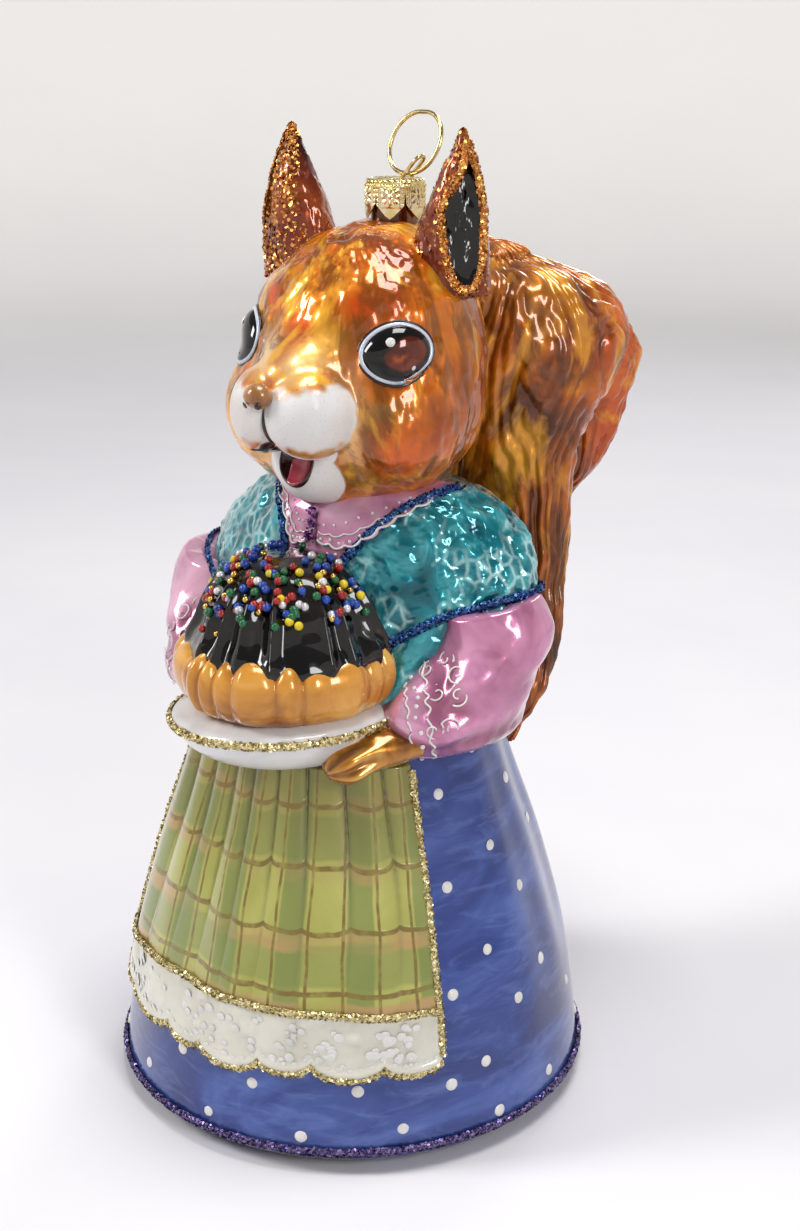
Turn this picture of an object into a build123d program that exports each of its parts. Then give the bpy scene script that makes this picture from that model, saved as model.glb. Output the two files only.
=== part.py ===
from build123d import *
from math import cos, hypot, pi, radians, sin
import os

# A blown glass squirrel ornament that stands on its skirt and hangs from a wire ring.
# Millimetres. The origin is the middle of the flat foot. The figure looks along -Y, up is +Z.
# Its left side is +X. The glass is one hollow shell, divided here at its relief and paint seams.

# Glass and glue
glass_wall = 0.9
seam = 0.05
glue_line = 0.06
cloth_gap = 0.2
paint_layer = 0.6
glitter_layer = 0.95
glitter_width = 1.5
overrun = 5.0

# Skirt and foot
hem_radius = 41.0
hem_height = 3.5
foot_radius = 33.0
waist_height = 68.0
waist_radius = 24.6
waist_step = 0.4
hem_glitter_radius = 0.75

# Apron, its angles counted from the front
apron_half_angle = 57.0
apron_top_height = 63.5
lace_top_height = 26.8
lace_cusp_height = 19.2
lace_low_height = 16.8
lace_scallops = 8

# Bodice and neck
neck_height = 104.5
shoulder_half_width = 31.0
chest_half_depth = 18.5
collar_layer = 0.9
collar_top_drop = 0.3
neckline_half_width = 19.5
neckline_depth = 13.2
vest_edge_front_x = 12.0
vest_edge_front_drop = 22.5
vest_edge_side_drop = 16.0
button_radius = 0.85
button_spacing = 1.8
button_top_drop = 1.95
button_stand = 1.3

# Sleeves and paws
elbow_height = 65.6
sleeve_height = 28.4
sleeve_half_width = 9.8
sleeve_half_depth = 13.2
shoulder_reach = 27.4
paw_length = 16.0
paw_half_width = 4.8
paw_half_height = 4.2
paw_start = (21.0, -12.5, 69.0)
paw_heading = -31.0
paw_dip = 13.0

# Plate and cake
cake_back = -18.2
plate_low_height = 64.5
plate_height = 7.7
plate_radius = 18.7
crust_radius = 18.0
crust_height = 9.8
glaze_radius = 16.4
glaze_height = 16.4
bead_radius = 0.75
bead_count = 150
bead_low_share = 0.42
bead_back_limit = 2.6

# Head, its pieces placed from the middle of the neck's top
head_height = 42.1
head_half_width = 20.8
head_half_depth = 18.0
snout_place = (0.0, -9.5, 20.0)
snout_half_sizes = (7.6, 11.4, 6.4)
muzzle_place = (4.7, -16.6, 15.1)
muzzle_half_sizes = (5.4, 7.6, 7.0)
muzzle_turn = -30.0
chin_place = (0.0, -10.2, 5.1)
chin_half_sizes = (7.0, 7.2, 6.2)
nose_place = (0.0, -22.9, 19.1)
nose_half_sizes = (2.7, 2.5, 2.3)
mouth_place = (0.0, -15.6, 6.5)
mouth_half_sizes = (3.2, 3.2, 4.8)
tongue_place = (0.0, -17.5, 6.7)
tongue_half_sizes = (2.2, 2.2, 3.3)
eye_place = (13.3, -8.0, 24.5)
eye_half_sizes = (2.0, 6.1, 4.6)
eye_turn = -38.0

# Ears, their hollows placed from the middle of the ears' foot level
ear_sink = 9.6
ear_height = 24.0
ear_half_width = 7.6
ear_half_depth = 4.6
ear_reach = 16.6
ear_back = 7.2
ear_hollow_place = (19.7, 4.2, 10.3)
ear_hollow_half_sizes = (2.9, 3.3, 8.6)
ear_hollow_turn = -30.0
ear_hollow_lean = -9.0
ear_lining_wall = 0.5
ear_rim_width = 0.9
ear_rim_layer = 0.5

# Tail
tail_low_height = 58.0
tail_height = 80.8
tail_half_width = 27.5
tail_half_depth = 19.5
tail_back = 41.5
curl_low_height = 86.0
curl_height = 40.0
curl_half_width = 24.5
curl_half_depth = 9.0
curl_back = 52.0

# Blow pipe, cap, staple and ring
crown_back = 13.0
pipe_radius = 4.1
pipe_wall = 0.9
pipe_sink = 3.1
cap_radius = 4.9
cap_wall = 0.3
cap_stand = 0.8
cap_height = 6.2
cap_seat = 0.3
cap_edge_radius = 0.6
petal_count = 6
petal_notch_height = 1.9
petal_notch_width = 2.4
staple_radius = 0.33
staple_hole_radius = 0.65
staple_side = 2.2
staple_half_span = 1.25
staple_foot_side = 0.8
staple_foot_half_span = 2.1
staple_foot_drop = 13.0
arch_lean = 3.0
arch_height = 3.4
ring_radius = 5.1
ring_wire_radius = 0.37
ring_straight = 1.2
ring_gap = 0.25
ring_lean = 22.0
ring_turn = -13.0
ring_foot_side = 2.3
ring_foot_forward = 0.2

# Each row: height, width, depth, sideways and backward shares, then the turn in degrees
bodice_shares = [
    (0.10, 0.85, 1.12, 0, 0.03, 0),
    (0.24, 0.90, 0.98, 0, 0.05, 0),
    (0.38, 0.95, 0.92, 0, 0.08, 0),
    (0.55, 1.00, 0.86, 0, 0.10, 0),
    (0.68, 0.97, 0.80, 0, 0.11, 0),
    (0.79, 0.88, 0.73, 0, 0.12, 0),
    (0.89, 0.76, 0.67, 0, 0.12, 0),
    (1.00, 0.56, 0.61, 0, 0.14, 0),
]
head_shares = [
    (0.00, 0.65, 0.68, 0, 0.14, 0),
    (0.11, 0.84, 0.85, 0, 0.16, 0),
    (0.23, 0.96, 0.95, 0, 0.19, 0),
    (0.37, 1.00, 1.00, 0, 0.21, 0),
    (0.51, 0.99, 1.00, 0, 0.25, 0),
    (0.65, 0.93, 0.97, 0, 0.29, 0),
    (0.80, 0.81, 0.86, 0, 0.33, 0),
    (0.89, 0.66, 0.72, 0, 0.41, 0),
    (0.96, 0.46, 0.54, 0, 0.49, 0),
    (1.00, 0.24, 0.31, 0, 0.55, 0),
]
sleeve_shares = [
    (0.00, 0.41, 0.53, 0.86, -0.47, -28),
    (0.05, 0.69, 0.80, 0.86, -0.47, -28),
    (0.16, 0.90, 1.00, 0.86, -0.47, -28),
    (0.30, 0.98, 0.98, 0.89, -0.38, -26),
    (0.44, 1.00, 0.85, 0.95, -0.17, -15),
    (0.58, 0.99, 0.75, 1.00, 0.02, 0),
    (0.75, 0.92, 0.68, 1.00, 0.08, 0),
    (0.89, 0.76, 0.58, 0.96, 0.08, 0),
    (1.00, 0.46, 0.38, 0.91, 0.08, 0),
]
ear_shares = [
    (0.00, 1.00, 1.00, 0.86, 0.97, 0),
    (0.29, 0.87, 1.00, 0.88, 0.97, 0),
    (0.54, 0.64, 0.87, 0.93, 0.97, 0),
    (0.79, 0.37, 0.52, 0.98, 0.99, 0),
    (1.00, 0.07, 0.11, 1.00, 1.00, 0),
]
tail_shares = [
    (0.00, 0.80, 0.31, 0, 0.43, 0),
    (0.10, 0.88, 0.44, 0, 0.58, 0),
    (0.21, 0.88, 0.51, 0, 0.69, 0),
    (0.33, 0.84, 0.54, 0, 0.76, 0),
    (0.48, 0.83, 0.54, 0, 0.80, 0),
    (0.61, 0.85, 0.59, 0, 0.82, 0),
    (0.69, 0.91, 0.74, 0, 0.88, 0),
    (0.78, 0.99, 0.92, 0, 0.96, 0),
    (0.86, 1.00, 1.00, 0, 1.00, 0),
    (0.92, 0.91, 0.90, 0, 0.98, 0),
    (0.97, 0.70, 0.67, 0, 0.94, 0),
    (1.00, 0.36, 0.33, 0, 0.92, 0),
]
curl_shares = [
    (0.00, 0.16, 0.22, 0, 0.91, 0),
    (0.10, 0.41, 0.44, 0, 0.93, 0),
    (0.25, 0.63, 0.67, 0, 0.96, 0),
    (0.42, 0.82, 0.89, 0, 0.99, 0),
    (0.60, 0.94, 1.00, 0, 1.00, 0),
    (0.80, 1.00, 1.00, 0, 0.99, 0),
    (0.90, 1.00, 1.08, 0, 0.97, 0),
    (1.00, 0.95, 1.05, 0, 0.94, 0),
]

# Profiles: radius and height shares
skirt_profile_shares = [
    (0.993, 0.10), (0.963, 0.225), (0.924, 0.365), (0.866, 0.50), (0.785, 0.66), (0.69, 0.82),
]
plate_profile_shares = [(0.48, 0), (0.65, 0.06), (0.76, 0.20), (0.88, 0.46), (0.965, 0.71), (1, 1)]
crust_profile_shares = [(0.975, 0), (1, 0.35), (0.985, 0.72), (0.93, 1)]
glaze_profile_shares = [
    (1, 0), (0.93, 0.22), (0.84, 0.44), (0.74, 0.64), (0.60, 0.82), (0.40, 0.94), (0.15, 1),
]
paw_shares = [(0, 1, 1), (0.35, 0.95, 1), (0.7, 0.85, 0.86), (0.92, 0.6, 0.6), (1, 0.3, 0.3)]

# How far the cutting shapes reach
side_reach = hem_radius * 2

# How far the handles of a quarter oval reach, as a share of its half size
quarter_pull = 0.5523

# Counts
scallop_steps = 6
button_count = 3
collar_rows = 2
bead_colour_round = 11


# Forms

def level_ovals(shares, low, height, half_width, half_depth, side=0, back=0):
    """Rows of height, half width, half depth, middle x, middle y and turn, from rows of shares."""
    return [
        (low + height * h, half_width * w, half_depth * d, side * s, back * b, turn)
        for h, w, d, s, b, turn in shares
    ]


def oval_quarters(half_width, half_depth, middle_x=0, middle_y=0, turn=0):
    """Handle points of the four smooth quarters of one oval, turned about its own middle."""
    quarters = []
    for quarter in range(4):
        (x0, y0), (x1, y1) = [
            (cos(way), sin(way)) for way in (quarter * pi / 2, (quarter + 1) * pi / 2)
        ]
        shape = [
            (x0, y0),
            (x0 - y0 * quarter_pull, y0 + x0 * quarter_pull),
            (x1 + y1 * quarter_pull, y1 - x1 * quarter_pull),
            (x1, y1),
        ]
        points = [Vector(x * half_width, y * half_depth).rotate(Axis.Z, turn) for x, y in shape]
        quarters.append([point + Vector(middle_x, middle_y) for point in points])
    return quarters


def oval_form(rows, grow=0):
    """A solid lofted through level ovals, all of them larger by grow."""
    with BuildPart() as form:
        for height, half_width, half_depth, middle_x, middle_y, turn in rows:
            size = (half_width + grow, half_depth + grow)
            with BuildSketch(Plane.XY.offset(height)):
                with BuildLine():
                    for quarter in oval_quarters(*size, middle_x, middle_y, turn):
                        Bezier(*quarter)
                make_face()
        loft()
    return form.part


def inner_form(rows):
    """The closed hollow inside the glass of a form through level ovals."""
    inside = list(rows)
    inside[0] = (rows[0][0] + glass_wall,) + rows[0][1:]
    inside[-1] = (rows[-1][0] - glass_wall,) + rows[-1][1:]
    return oval_form(inside, -glass_wall)


def egg(middle, half_sizes, turn=0, lean=0, grow=0):
    """An ellipsoid about middle, turned about the upright and leaned sideways."""
    ball = scale(
        Sphere(1, mode=Mode.PRIVATE), by=tuple(size + grow for size in half_sizes), mode=Mode.PRIVATE
    )
    return Pos(*middle) * Rot(0, lean, 0) * Rot(0, 0, turn) * ball


def turned_form(edge_points, low_point, top_point, grow=0, back=0):
    """A solid turned about an upright axis through edge points, each moved out by grow."""
    low_radius, low_height = low_point
    top_radius, top_height = top_point
    edge = [(radius + grow, height) for radius, height in [low_point] + edge_points + [top_point]]
    with BuildPart() as form:
        with BuildSketch(Plane.XZ.offset(-back)):
            with BuildLine():
                Spline(*edge)
                Polyline(edge[-1], (0, top_height), (0, low_height), edge[0])
            make_face()
        revolve(axis=Axis((0, back, 0), (0, 0, 1)))
    return form.part


def skirt_form(grow=0):
    """The skirt from hem to waist."""
    edge = [(hem_radius * radius, waist_height * height) for radius, height in skirt_profile_shares]
    return turned_form(edge, (hem_radius, hem_height), (waist_radius, waist_height), grow)


def cake_form(profile_shares, radius, low_height, height, grow=0, lift=0):
    """A round of the plate or the cake about the cake's axis, raised by lift."""
    edge = [(radius * r, low_height + height * h + lift) for r, h in profile_shares]
    return turned_form(edge[1:-1], edge[0], edge[-1], grow, cake_back)


def front_wedge(start_angle, end_angle, low_height, top_height):
    """An upright wedge about the origin between two angles counted from the front."""
    corners = [(0, 0)]
    for share in (0, 0.5, 1):
        angle = radians(start_angle + (end_angle - start_angle) * share)
        corners.append((side_reach * sin(angle), -side_reach * cos(angle)))
    with BuildPart() as wedge:
        with BuildSketch(Plane.XY.offset(low_height)):
            Polygon(*corners, align=None)
        extrude(amount=top_height - low_height)
    return wedge.part


def front_prism(corners, both=False):
    """The space in front of X and Z corners, and behind them too if both is set."""
    with BuildPart() as prism:
        with BuildSketch(Plane.XZ):
            Polygon(*corners, align=None)
        extrude(amount=side_reach, both=both)
    return prism.part


def mirrored(form):
    """The same form on the other side of the figure."""
    return mirror(form, about=Plane.YZ, mode=Mode.PRIVATE)


def carve(*forms):
    """Cut each form out of the open part."""
    for form in forms:
        add(form, mode=Mode.SUBTRACT)


def keep(*forms):
    """Keep only what the open part shares with every form."""
    for form in forms:
        add(form, mode=Mode.INTERSECT)


def front_height_point(form, height):
    """Where a level line from the front along the middle meets a form at a height."""
    line = Edge.make_line((0, -side_reach, height), (0, 0, height))
    return ShapeList(line.intersect(form)).vertices().sort_by(Axis.Y)[0].center()


def raised(place, height):
    """A place whose height is counted from a given level."""
    return (place[0], place[1], place[2] + height)


head_top_height = neck_height + head_height
ear_low_height = head_top_height - ear_sink
pipe_low_height = head_top_height - pipe_sink
cap_low_height = head_top_height + cap_stand
cap_top_height = cap_low_height + cap_height
vest_edge_front_height = neck_height - vest_edge_front_drop
vest_edge_side_height = neck_height - vest_edge_side_drop
snout_middle = raised(snout_place, neck_height)
muzzle_middle = raised(muzzle_place, neck_height)
chin_middle = raised(chin_place, neck_height)
nose_middle = raised(nose_place, neck_height)
mouth_middle = raised(mouth_place, neck_height)
tongue_middle = raised(tongue_place, neck_height)
eye_middle = raised(eye_place, neck_height)
ear_hollow_middle = raised(ear_hollow_place, ear_low_height)
plate_top_height = plate_low_height + plate_height
glaze_low_height = plate_top_height + crust_height

bodice_foot_radius = waist_radius - waist_step
bodice_rows = [(waist_height, bodice_foot_radius, bodice_foot_radius, 0, 0, 0)]
bodice_rows += level_ovals(
    bodice_shares, waist_height, neck_height - waist_height, shoulder_half_width, chest_half_depth,
    back=chest_half_depth,
)
head_rows = level_ovals(
    head_shares, neck_height, head_height, head_half_width, head_half_depth, back=head_half_depth
)
sleeve_rows = level_ovals(
    sleeve_shares, elbow_height, sleeve_height, sleeve_half_width, sleeve_half_depth,
    side=shoulder_reach, back=sleeve_half_depth,
)
ear_rows = level_ovals(
    ear_shares, ear_low_height, ear_height, ear_half_width, ear_half_depth, side=ear_reach, back=ear_back
)
tail_rows = level_ovals(
    tail_shares, tail_low_height, tail_height, tail_half_width, tail_half_depth, back=tail_back
)
curl_rows = level_ovals(
    curl_shares, curl_low_height, curl_height, curl_half_width, curl_half_depth, back=curl_back
)

skirt_room = skirt_form(seam)
apron_room = skirt_form(paint_layer + seam)
bodice_room = oval_form(bodice_rows, seam)
collar_room = oval_form(bodice_rows, collar_layer + seam)
head_room = oval_form(head_rows, seam)
plate_size = (plate_profile_shares, plate_radius, plate_low_height, plate_height)
crust_size = (crust_profile_shares, crust_radius, plate_top_height, crust_height)
glaze_size = (glaze_profile_shares, glaze_radius, glaze_low_height, glaze_height)
plate_room = cake_form(*plate_size, grow=seam)
crust_room = cake_form(*crust_size, grow=seam)
sleeve_form = oval_form(sleeve_rows)
sleeve_room = oval_form(sleeve_rows, seam)
snout_room = egg(snout_middle, snout_half_sizes, grow=seam)
muzzle_form = egg(muzzle_middle, muzzle_half_sizes, muzzle_turn)
muzzle_room = egg(muzzle_middle, muzzle_half_sizes, muzzle_turn, grow=seam)
chin_room = egg(chin_middle, chin_half_sizes, grow=seam)


# Foot and skirt

with BuildPart() as base:
    with BuildSketch(Plane.XZ):
        with BuildLine():
            Line((0, 0), (foot_radius, 0))
            Spline((foot_radius, 0), (hem_radius, hem_height), tangents=((1, 0), (0, 1)))
            Polyline(
                (hem_radius, hem_height),
                (hem_radius - glass_wall, hem_height),
                (foot_radius, glass_wall),
                (0, glass_wall),
                (0, 0),
            )
        make_face()
    revolve(axis=Axis.Z)

with BuildPart() as skirt:
    add(skirt_form())
    carve(skirt_form(-glass_wall))

with BuildPart() as hem_glitter:
    with BuildSketch(Plane.XZ):
        with Locations((hem_radius + hem_glitter_radius + glue_line, hem_height)):
            Circle(hem_glitter_radius)
    revolve(axis=Axis.Z)


# Apron and lace, raised on the skirt, with their glitter lines
side_angle = glitter_width / hem_radius * 180 / pi
seam_angle = seam / hem_radius * 180 / pi
cloth_angle = apron_half_angle - side_angle - seam_angle
apron_skin = skirt_form(paint_layer) - skirt_form(glue_line)
glitter_skin = skirt_form(glitter_layer) - skirt_form(glue_line)


def scallop_edge(drop):
    """X and Z corners along the lace's scalloped edge, lowered by drop."""
    corners = []
    steps = lace_scallops * scallop_steps
    for step in range(steps + 1):
        angle = radians(apron_half_angle * (2 * step / steps - 1))
        swell = abs(sin(pi * step / scallop_steps))
        height = lace_cusp_height - (lace_cusp_height - lace_low_height) * swell - drop
        corners.append((hem_radius * sin(angle), height))
    return corners


apron_field = front_wedge(-cloth_angle, cloth_angle, lace_top_height + glitter_width, apron_top_height)
lace_field = front_wedge(-cloth_angle, cloth_angle, hem_height, lace_top_height - seam)
lace_top_field = front_wedge(
    -cloth_angle, cloth_angle, lace_top_height, lace_top_height + glitter_width - seam
)
side_field = front_wedge(
    apron_half_angle - side_angle, apron_half_angle, lace_cusp_height, apron_top_height
)
lace_shape = front_prism(
    scallop_edge(0) + [(side_reach, waist_height), (-side_reach, waist_height)]
)
scallop_band = front_prism(scallop_edge(seam) + scallop_edge(glitter_width)[::-1])
band_field = front_wedge(-apron_half_angle, apron_half_angle, hem_height, lace_cusp_height - seam)

with BuildPart() as apron:
    add(apron_skin)
    keep(apron_field)

with BuildPart() as apron_lace:
    add(apron_skin)
    keep(lace_field, lace_shape)

with BuildPart() as lace_top_glitter:
    add(glitter_skin)
    keep(lace_top_field)

with BuildPart() as lace_edge_glitter:
    add(glitter_skin)
    keep(band_field, scallop_band)

with BuildPart() as apron_side_glitter:
    add(glitter_skin)
    keep(side_field)
    mirror(about=Plane.YZ)


# Bodice, blouse and collar
collar_low_height = bodice_rows[-collar_rows][0]
blouse_apex_height = neck_height - neckline_depth
neckline_share = (collar_low_height - blouse_apex_height) / neckline_depth
neckline_top_x = neckline_half_width * neckline_share
neckline_corner = (neckline_top_x, collar_low_height)
neckline_corner_right = (-neckline_top_x, collar_low_height)
neck_glitter_shape = front_prism(
    [
        neckline_corner,
        (0, blouse_apex_height),
        neckline_corner_right,
        (-neckline_top_x - glitter_width, collar_low_height),
        (0, blouse_apex_height - glitter_width),
        (neckline_top_x + glitter_width, collar_low_height),
    ]
)
blouse_shape = front_prism(
    [
        (neckline_top_x - cloth_gap, collar_low_height - seam),
        (0, blouse_apex_height + cloth_gap),
        (cloth_gap - neckline_top_x, collar_low_height - seam),
    ]
)
arm_edge_shape = front_prism(
    [
        (vest_edge_front_x, vest_edge_front_height),
        (shoulder_half_width + glitter_width, vest_edge_side_height),
        (shoulder_half_width + glitter_width, vest_edge_side_height + glitter_width),
        (vest_edge_front_x, vest_edge_front_height + glitter_width),
    ],
    both=True,
)
bodice_glue = oval_form(bodice_rows, glue_line)
blouse_outside = oval_form(bodice_rows, paint_layer)
vest_glitter_outside = oval_form(bodice_rows, glitter_layer)

with BuildPart() as bodice:
    add(oval_form(bodice_rows))
    carve(inner_form(bodice_rows))

with BuildPart() as blouse_front:
    add(blouse_outside)
    keep(blouse_shape)
    carve(bodice_glue)

with BuildPart() as collar:
    add(oval_form(bodice_rows, collar_layer))
    with BuildSketch(Plane.XY.offset(collar_low_height)):
        Circle(2 * shoulder_half_width)
    extrude(amount=neck_height - collar_top_drop - collar_low_height, mode=Mode.INTERSECT)
    carve(bodice_glue)

with BuildPart() as vest_neck_glitter:
    add(vest_glitter_outside)
    keep(neck_glitter_shape)
    carve(bodice_glue)

with BuildPart() as vest_arm_glitter:
    add(vest_glitter_outside)
    keep(arm_edge_shape)
    carve(bodice_glue, sleeve_room)
    mirror(about=Plane.YZ)

button_top_height = neck_height - button_top_drop
button_middles = [
    front_height_point(collar_room, button_top_height - button_spacing * step) - Vector(0, button_stand, 0)
    for step in range(button_count)
]

with BuildPart() as blouse_buttons:
    with Locations(*button_middles):
        Sphere(button_radius)


# Plate and cake, grown together with the body behind them
rim_reach = plate_radius + glue_line + hem_glitter_radius
rim_height = plate_top_height - hem_glitter_radius
rim_room = Pos(0, cake_back, rim_height) * Torus(
    rim_reach, hem_glitter_radius + seam, mode=Mode.PRIVATE
)

with BuildPart() as plate:
    add(cake_form(*plate_size))
    carve(cake_form(*plate_size, grow=-glass_wall, lift=glass_wall), skirt_room, bodice_room)

with BuildPart() as plate_rim_glitter:
    with BuildSketch(Plane.XZ.offset(-cake_back)):
        with Locations((rim_reach, rim_height)):
            Circle(hem_glitter_radius)
    revolve(axis=Axis((0, cake_back, 0), (0, 0, 1)))
    carve(bodice_room, skirt_room, sleeve_room, mirrored(sleeve_room))

with BuildPart() as cake_crust:
    add(cake_form(*crust_size))
    carve(cake_form(*crust_size, grow=-glass_wall), bodice_room)

with BuildPart() as cake_glaze:
    add(cake_form(*glaze_size))
    carve(cake_form(*glaze_size, grow=-glass_wall, lift=-glass_wall), bodice_room, collar_room)


# Glass beads on the glaze, spread along a spiral over its dome
glaze_edge = Spline(
    *[(glaze_radius * r, glaze_low_height + glaze_height * h) for r, h in glaze_profile_shares],
    mode=Mode.PRIVATE,
)
golden_turn = 180 * (3 - 5 ** 0.5)
bead_middles = []
for step in range(bead_count):
    place = 1 - (1 - bead_low_share) * ((step + 0.5) / bead_count) ** 0.5
    way_out = (glaze_edge % place).rotate(Axis.Z, -90)
    radius, height = tuple((glaze_edge @ place) + way_out * (bead_radius + glue_line))[:2]
    middle = Vector(radius, 0, height).rotate(Axis.Z, golden_turn * step) + Vector(0, cake_back, 0)
    if middle.Y < cake_back + bead_back_limit:
        bead_middles.append(middle)


def bead_group(first_steps):
    """Middles of the beads whose place in the colour round is among the first steps."""
    return [
        middle for step, middle in enumerate(bead_middles) if step % bead_colour_round in first_steps
    ]


with BuildPart() as beads_red:
    with Locations(*bead_group((0, 5, 9))):
        Sphere(bead_radius)

with BuildPart() as beads_blue:
    with Locations(*bead_group((1, 7))):
        Sphere(bead_radius)

with BuildPart() as beads_green:
    with Locations(*bead_group((2, 6))):
        Sphere(bead_radius)

with BuildPart() as beads_gold:
    with Locations(*bead_group((3, 10))):
        Sphere(bead_radius)

with BuildPart() as beads_clear:
    with Locations(*bead_group((4,))):
        Sphere(bead_radius)

with BuildPart() as beads_yellow:
    with Locations(*bead_group((8,))):
        Sphere(bead_radius)


# Sleeves and paws
with BuildPart() as sleeve_left:
    add(sleeve_form)
    carve(inner_form(sleeve_rows), bodice_room, skirt_room, plate_room, crust_room)

with BuildPart() as sleeve_right:
    add(mirrored(sleeve_left.part))

paw_way = Vector(
    sin(radians(paw_heading)) * cos(radians(paw_dip)),
    -cos(radians(paw_heading)) * cos(radians(paw_dip)),
    -sin(radians(paw_dip)),
)
paw_plane = Plane(
    origin=paw_start, x_dir=(cos(radians(paw_heading)), sin(radians(paw_heading)), 0), z_dir=paw_way
)

with BuildPart() as paw_left:
    for length_share, width_share, height_share in paw_shares:
        with BuildSketch(paw_plane.offset(paw_length * length_share)):
            with BuildLine():
                for quarter in oval_quarters(paw_half_width * width_share, paw_half_height * height_share):
                    Bezier(*quarter)
            make_face()
    loft()
    carve(sleeve_room, plate_room, rim_room, apron_room, bodice_room)

with BuildPart() as paw_right:
    add(mirrored(paw_left.part))


# Tail
with BuildPart() as tail:
    add(oval_form(tail_rows))
    add(oval_form(curl_rows))
    carve(inner_form(tail_rows), inner_form(curl_rows))
    carve(skirt_room, bodice_room, head_room)


# Head
pipe_top_height = cap_top_height - cap_wall - cap_seat

with BuildPart() as head:
    add(oval_form(head_rows))
    add(egg(snout_middle, snout_half_sizes))
    carve(inner_form(head_rows), egg(snout_middle, snout_half_sizes, grow=-glass_wall))
    with BuildSketch(Plane.XY.offset(pipe_low_height)):
        with Locations((0, crown_back)):
            Circle(pipe_radius + seam)
    extrude(amount=cap_top_height - pipe_low_height, mode=Mode.SUBTRACT)

with BuildPart() as blow_pipe:
    with BuildSketch(Plane.XY.offset(pipe_low_height)):
        with Locations((0, crown_back)):
            Circle(pipe_radius)
            Circle(pipe_radius - pipe_wall, mode=Mode.SUBTRACT)
    extrude(amount=pipe_top_height - pipe_low_height)

muzzle_inside = egg(muzzle_middle, muzzle_half_sizes, muzzle_turn, grow=-glass_wall)

with BuildPart() as muzzle:
    add(muzzle_form)
    add(mirrored(muzzle_form))
    carve(muzzle_inside, mirrored(muzzle_inside), head_room, snout_room)

with BuildPart() as chin:
    add(egg(chin_middle, chin_half_sizes))
    carve(egg(chin_middle, chin_half_sizes, grow=-glass_wall))
    carve(head_room, muzzle_room, mirrored(muzzle_room), snout_room, collar_room)

with BuildPart() as nose:
    add(egg(nose_middle, nose_half_sizes))
    carve(muzzle_room, mirrored(muzzle_room), snout_room)

with BuildPart() as mouth:
    add(egg(mouth_middle, mouth_half_sizes))
    carve(muzzle_room, mirrored(muzzle_room), snout_room, chin_room, head_room)

with BuildPart() as tongue:
    add(egg(tongue_middle, tongue_half_sizes))
    carve(muzzle_room, mirrored(muzzle_room), chin_room)
    carve(egg(mouth_middle, mouth_half_sizes, grow=seam))

with BuildPart() as eye_left:
    add(egg(eye_middle, eye_half_sizes, eye_turn))
    carve(head_room)

with BuildPart() as eye_right:
    add(mirrored(eye_left.part))


# Ears, each with a dark hollow that opens outward
ear_form = oval_form(ear_rows)
ear_place = {"middle": ear_hollow_middle, "turn": ear_hollow_turn, "lean": ear_hollow_lean}
ear_hollow = egg(half_sizes=ear_hollow_half_sizes, **ear_place)
lining_outside = egg(half_sizes=ear_hollow_half_sizes, grow=-seam, **ear_place)
lining_inside = egg(half_sizes=ear_hollow_half_sizes, grow=-ear_lining_wall, **ear_place)
rim_outside = egg(half_sizes=ear_hollow_half_sizes, grow=ear_rim_width, **ear_place)
rim_skin = oval_form(ear_rows, ear_rim_layer) - oval_form(ear_rows, seam)

with BuildPart() as ear_left:
    add(ear_form)
    carve(ear_hollow, head_room)

with BuildPart() as ear_lining_left:
    add(lining_outside)
    keep(ear_form)
    carve(lining_inside, head_room)

with BuildPart() as ear_rim_glitter_left:
    add(rim_skin)
    keep(rim_outside)
    carve(ear_hollow, head_room)

with BuildPart() as ear_right:
    add(mirrored(ear_left.part))

with BuildPart() as ear_lining_right:
    add(mirrored(ear_lining_left.part))

with BuildPart() as ear_rim_glitter_right:
    add(mirrored(ear_rim_glitter_left.part))


# Metal cap with pointed petals and two staple holes
with BuildPart() as crown_cap:
    with BuildSketch(Plane.XY.offset(cap_low_height)):
        with Locations((0, crown_back)):
            Circle(cap_radius)
    extrude(amount=cap_top_height - cap_low_height)
    fillet(crown_cap.edges().group_by(Axis.Z)[-1], radius=cap_edge_radius)
    with BuildSketch(Plane.XY.offset(cap_low_height)):
        with Locations((0, crown_back)):
            Circle(cap_radius - cap_wall)
    extrude(amount=cap_top_height - cap_low_height - cap_wall, mode=Mode.SUBTRACT)
    for petal in range(petal_count):
        angle = 2 * pi * petal / petal_count
        petal_plane = Plane(
            origin=(0, crown_back, cap_low_height),
            x_dir=(-sin(angle), cos(angle), 0),
            z_dir=(cos(angle), sin(angle), 0),
        )
        with BuildSketch(petal_plane):
            Polygon(
                (-petal_notch_width / 2, 0), (petal_notch_width / 2, 0), (0, petal_notch_height), align=None
            )
        extrude(amount=cap_radius + overrun, mode=Mode.SUBTRACT)
    with BuildSketch(Plane.XY.offset(cap_top_height)):
        with Locations(
            (staple_side, crown_back - staple_half_span), (staple_side, crown_back + staple_half_span)
        ):
            Circle(staple_hole_radius)
    extrude(amount=-cap_edge_radius, mode=Mode.SUBTRACT)


# Wire staple: sprung legs in the pipe and an arch that leans over the cap
arch_straight = 1 - staple_half_span / hypot(arch_lean, arch_height)
arch_top = (staple_side + arch_lean, crown_back, cap_top_height + arch_height)


def staple_points(way):
    """Foot, hole and arch start of the leg on one side."""
    return [
        (staple_foot_side, crown_back + way * staple_foot_half_span, cap_top_height - staple_foot_drop),
        (staple_side, crown_back + way * staple_half_span, cap_top_height),
        (
            staple_side + arch_lean * arch_straight,
            crown_back + way * staple_half_span,
            cap_top_height + arch_height * arch_straight,
        ),
    ]


front_leg = staple_points(-1)
back_leg = staple_points(1)
leg_way = Vector(*front_leg[1]) - Vector(*front_leg[0])

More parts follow.
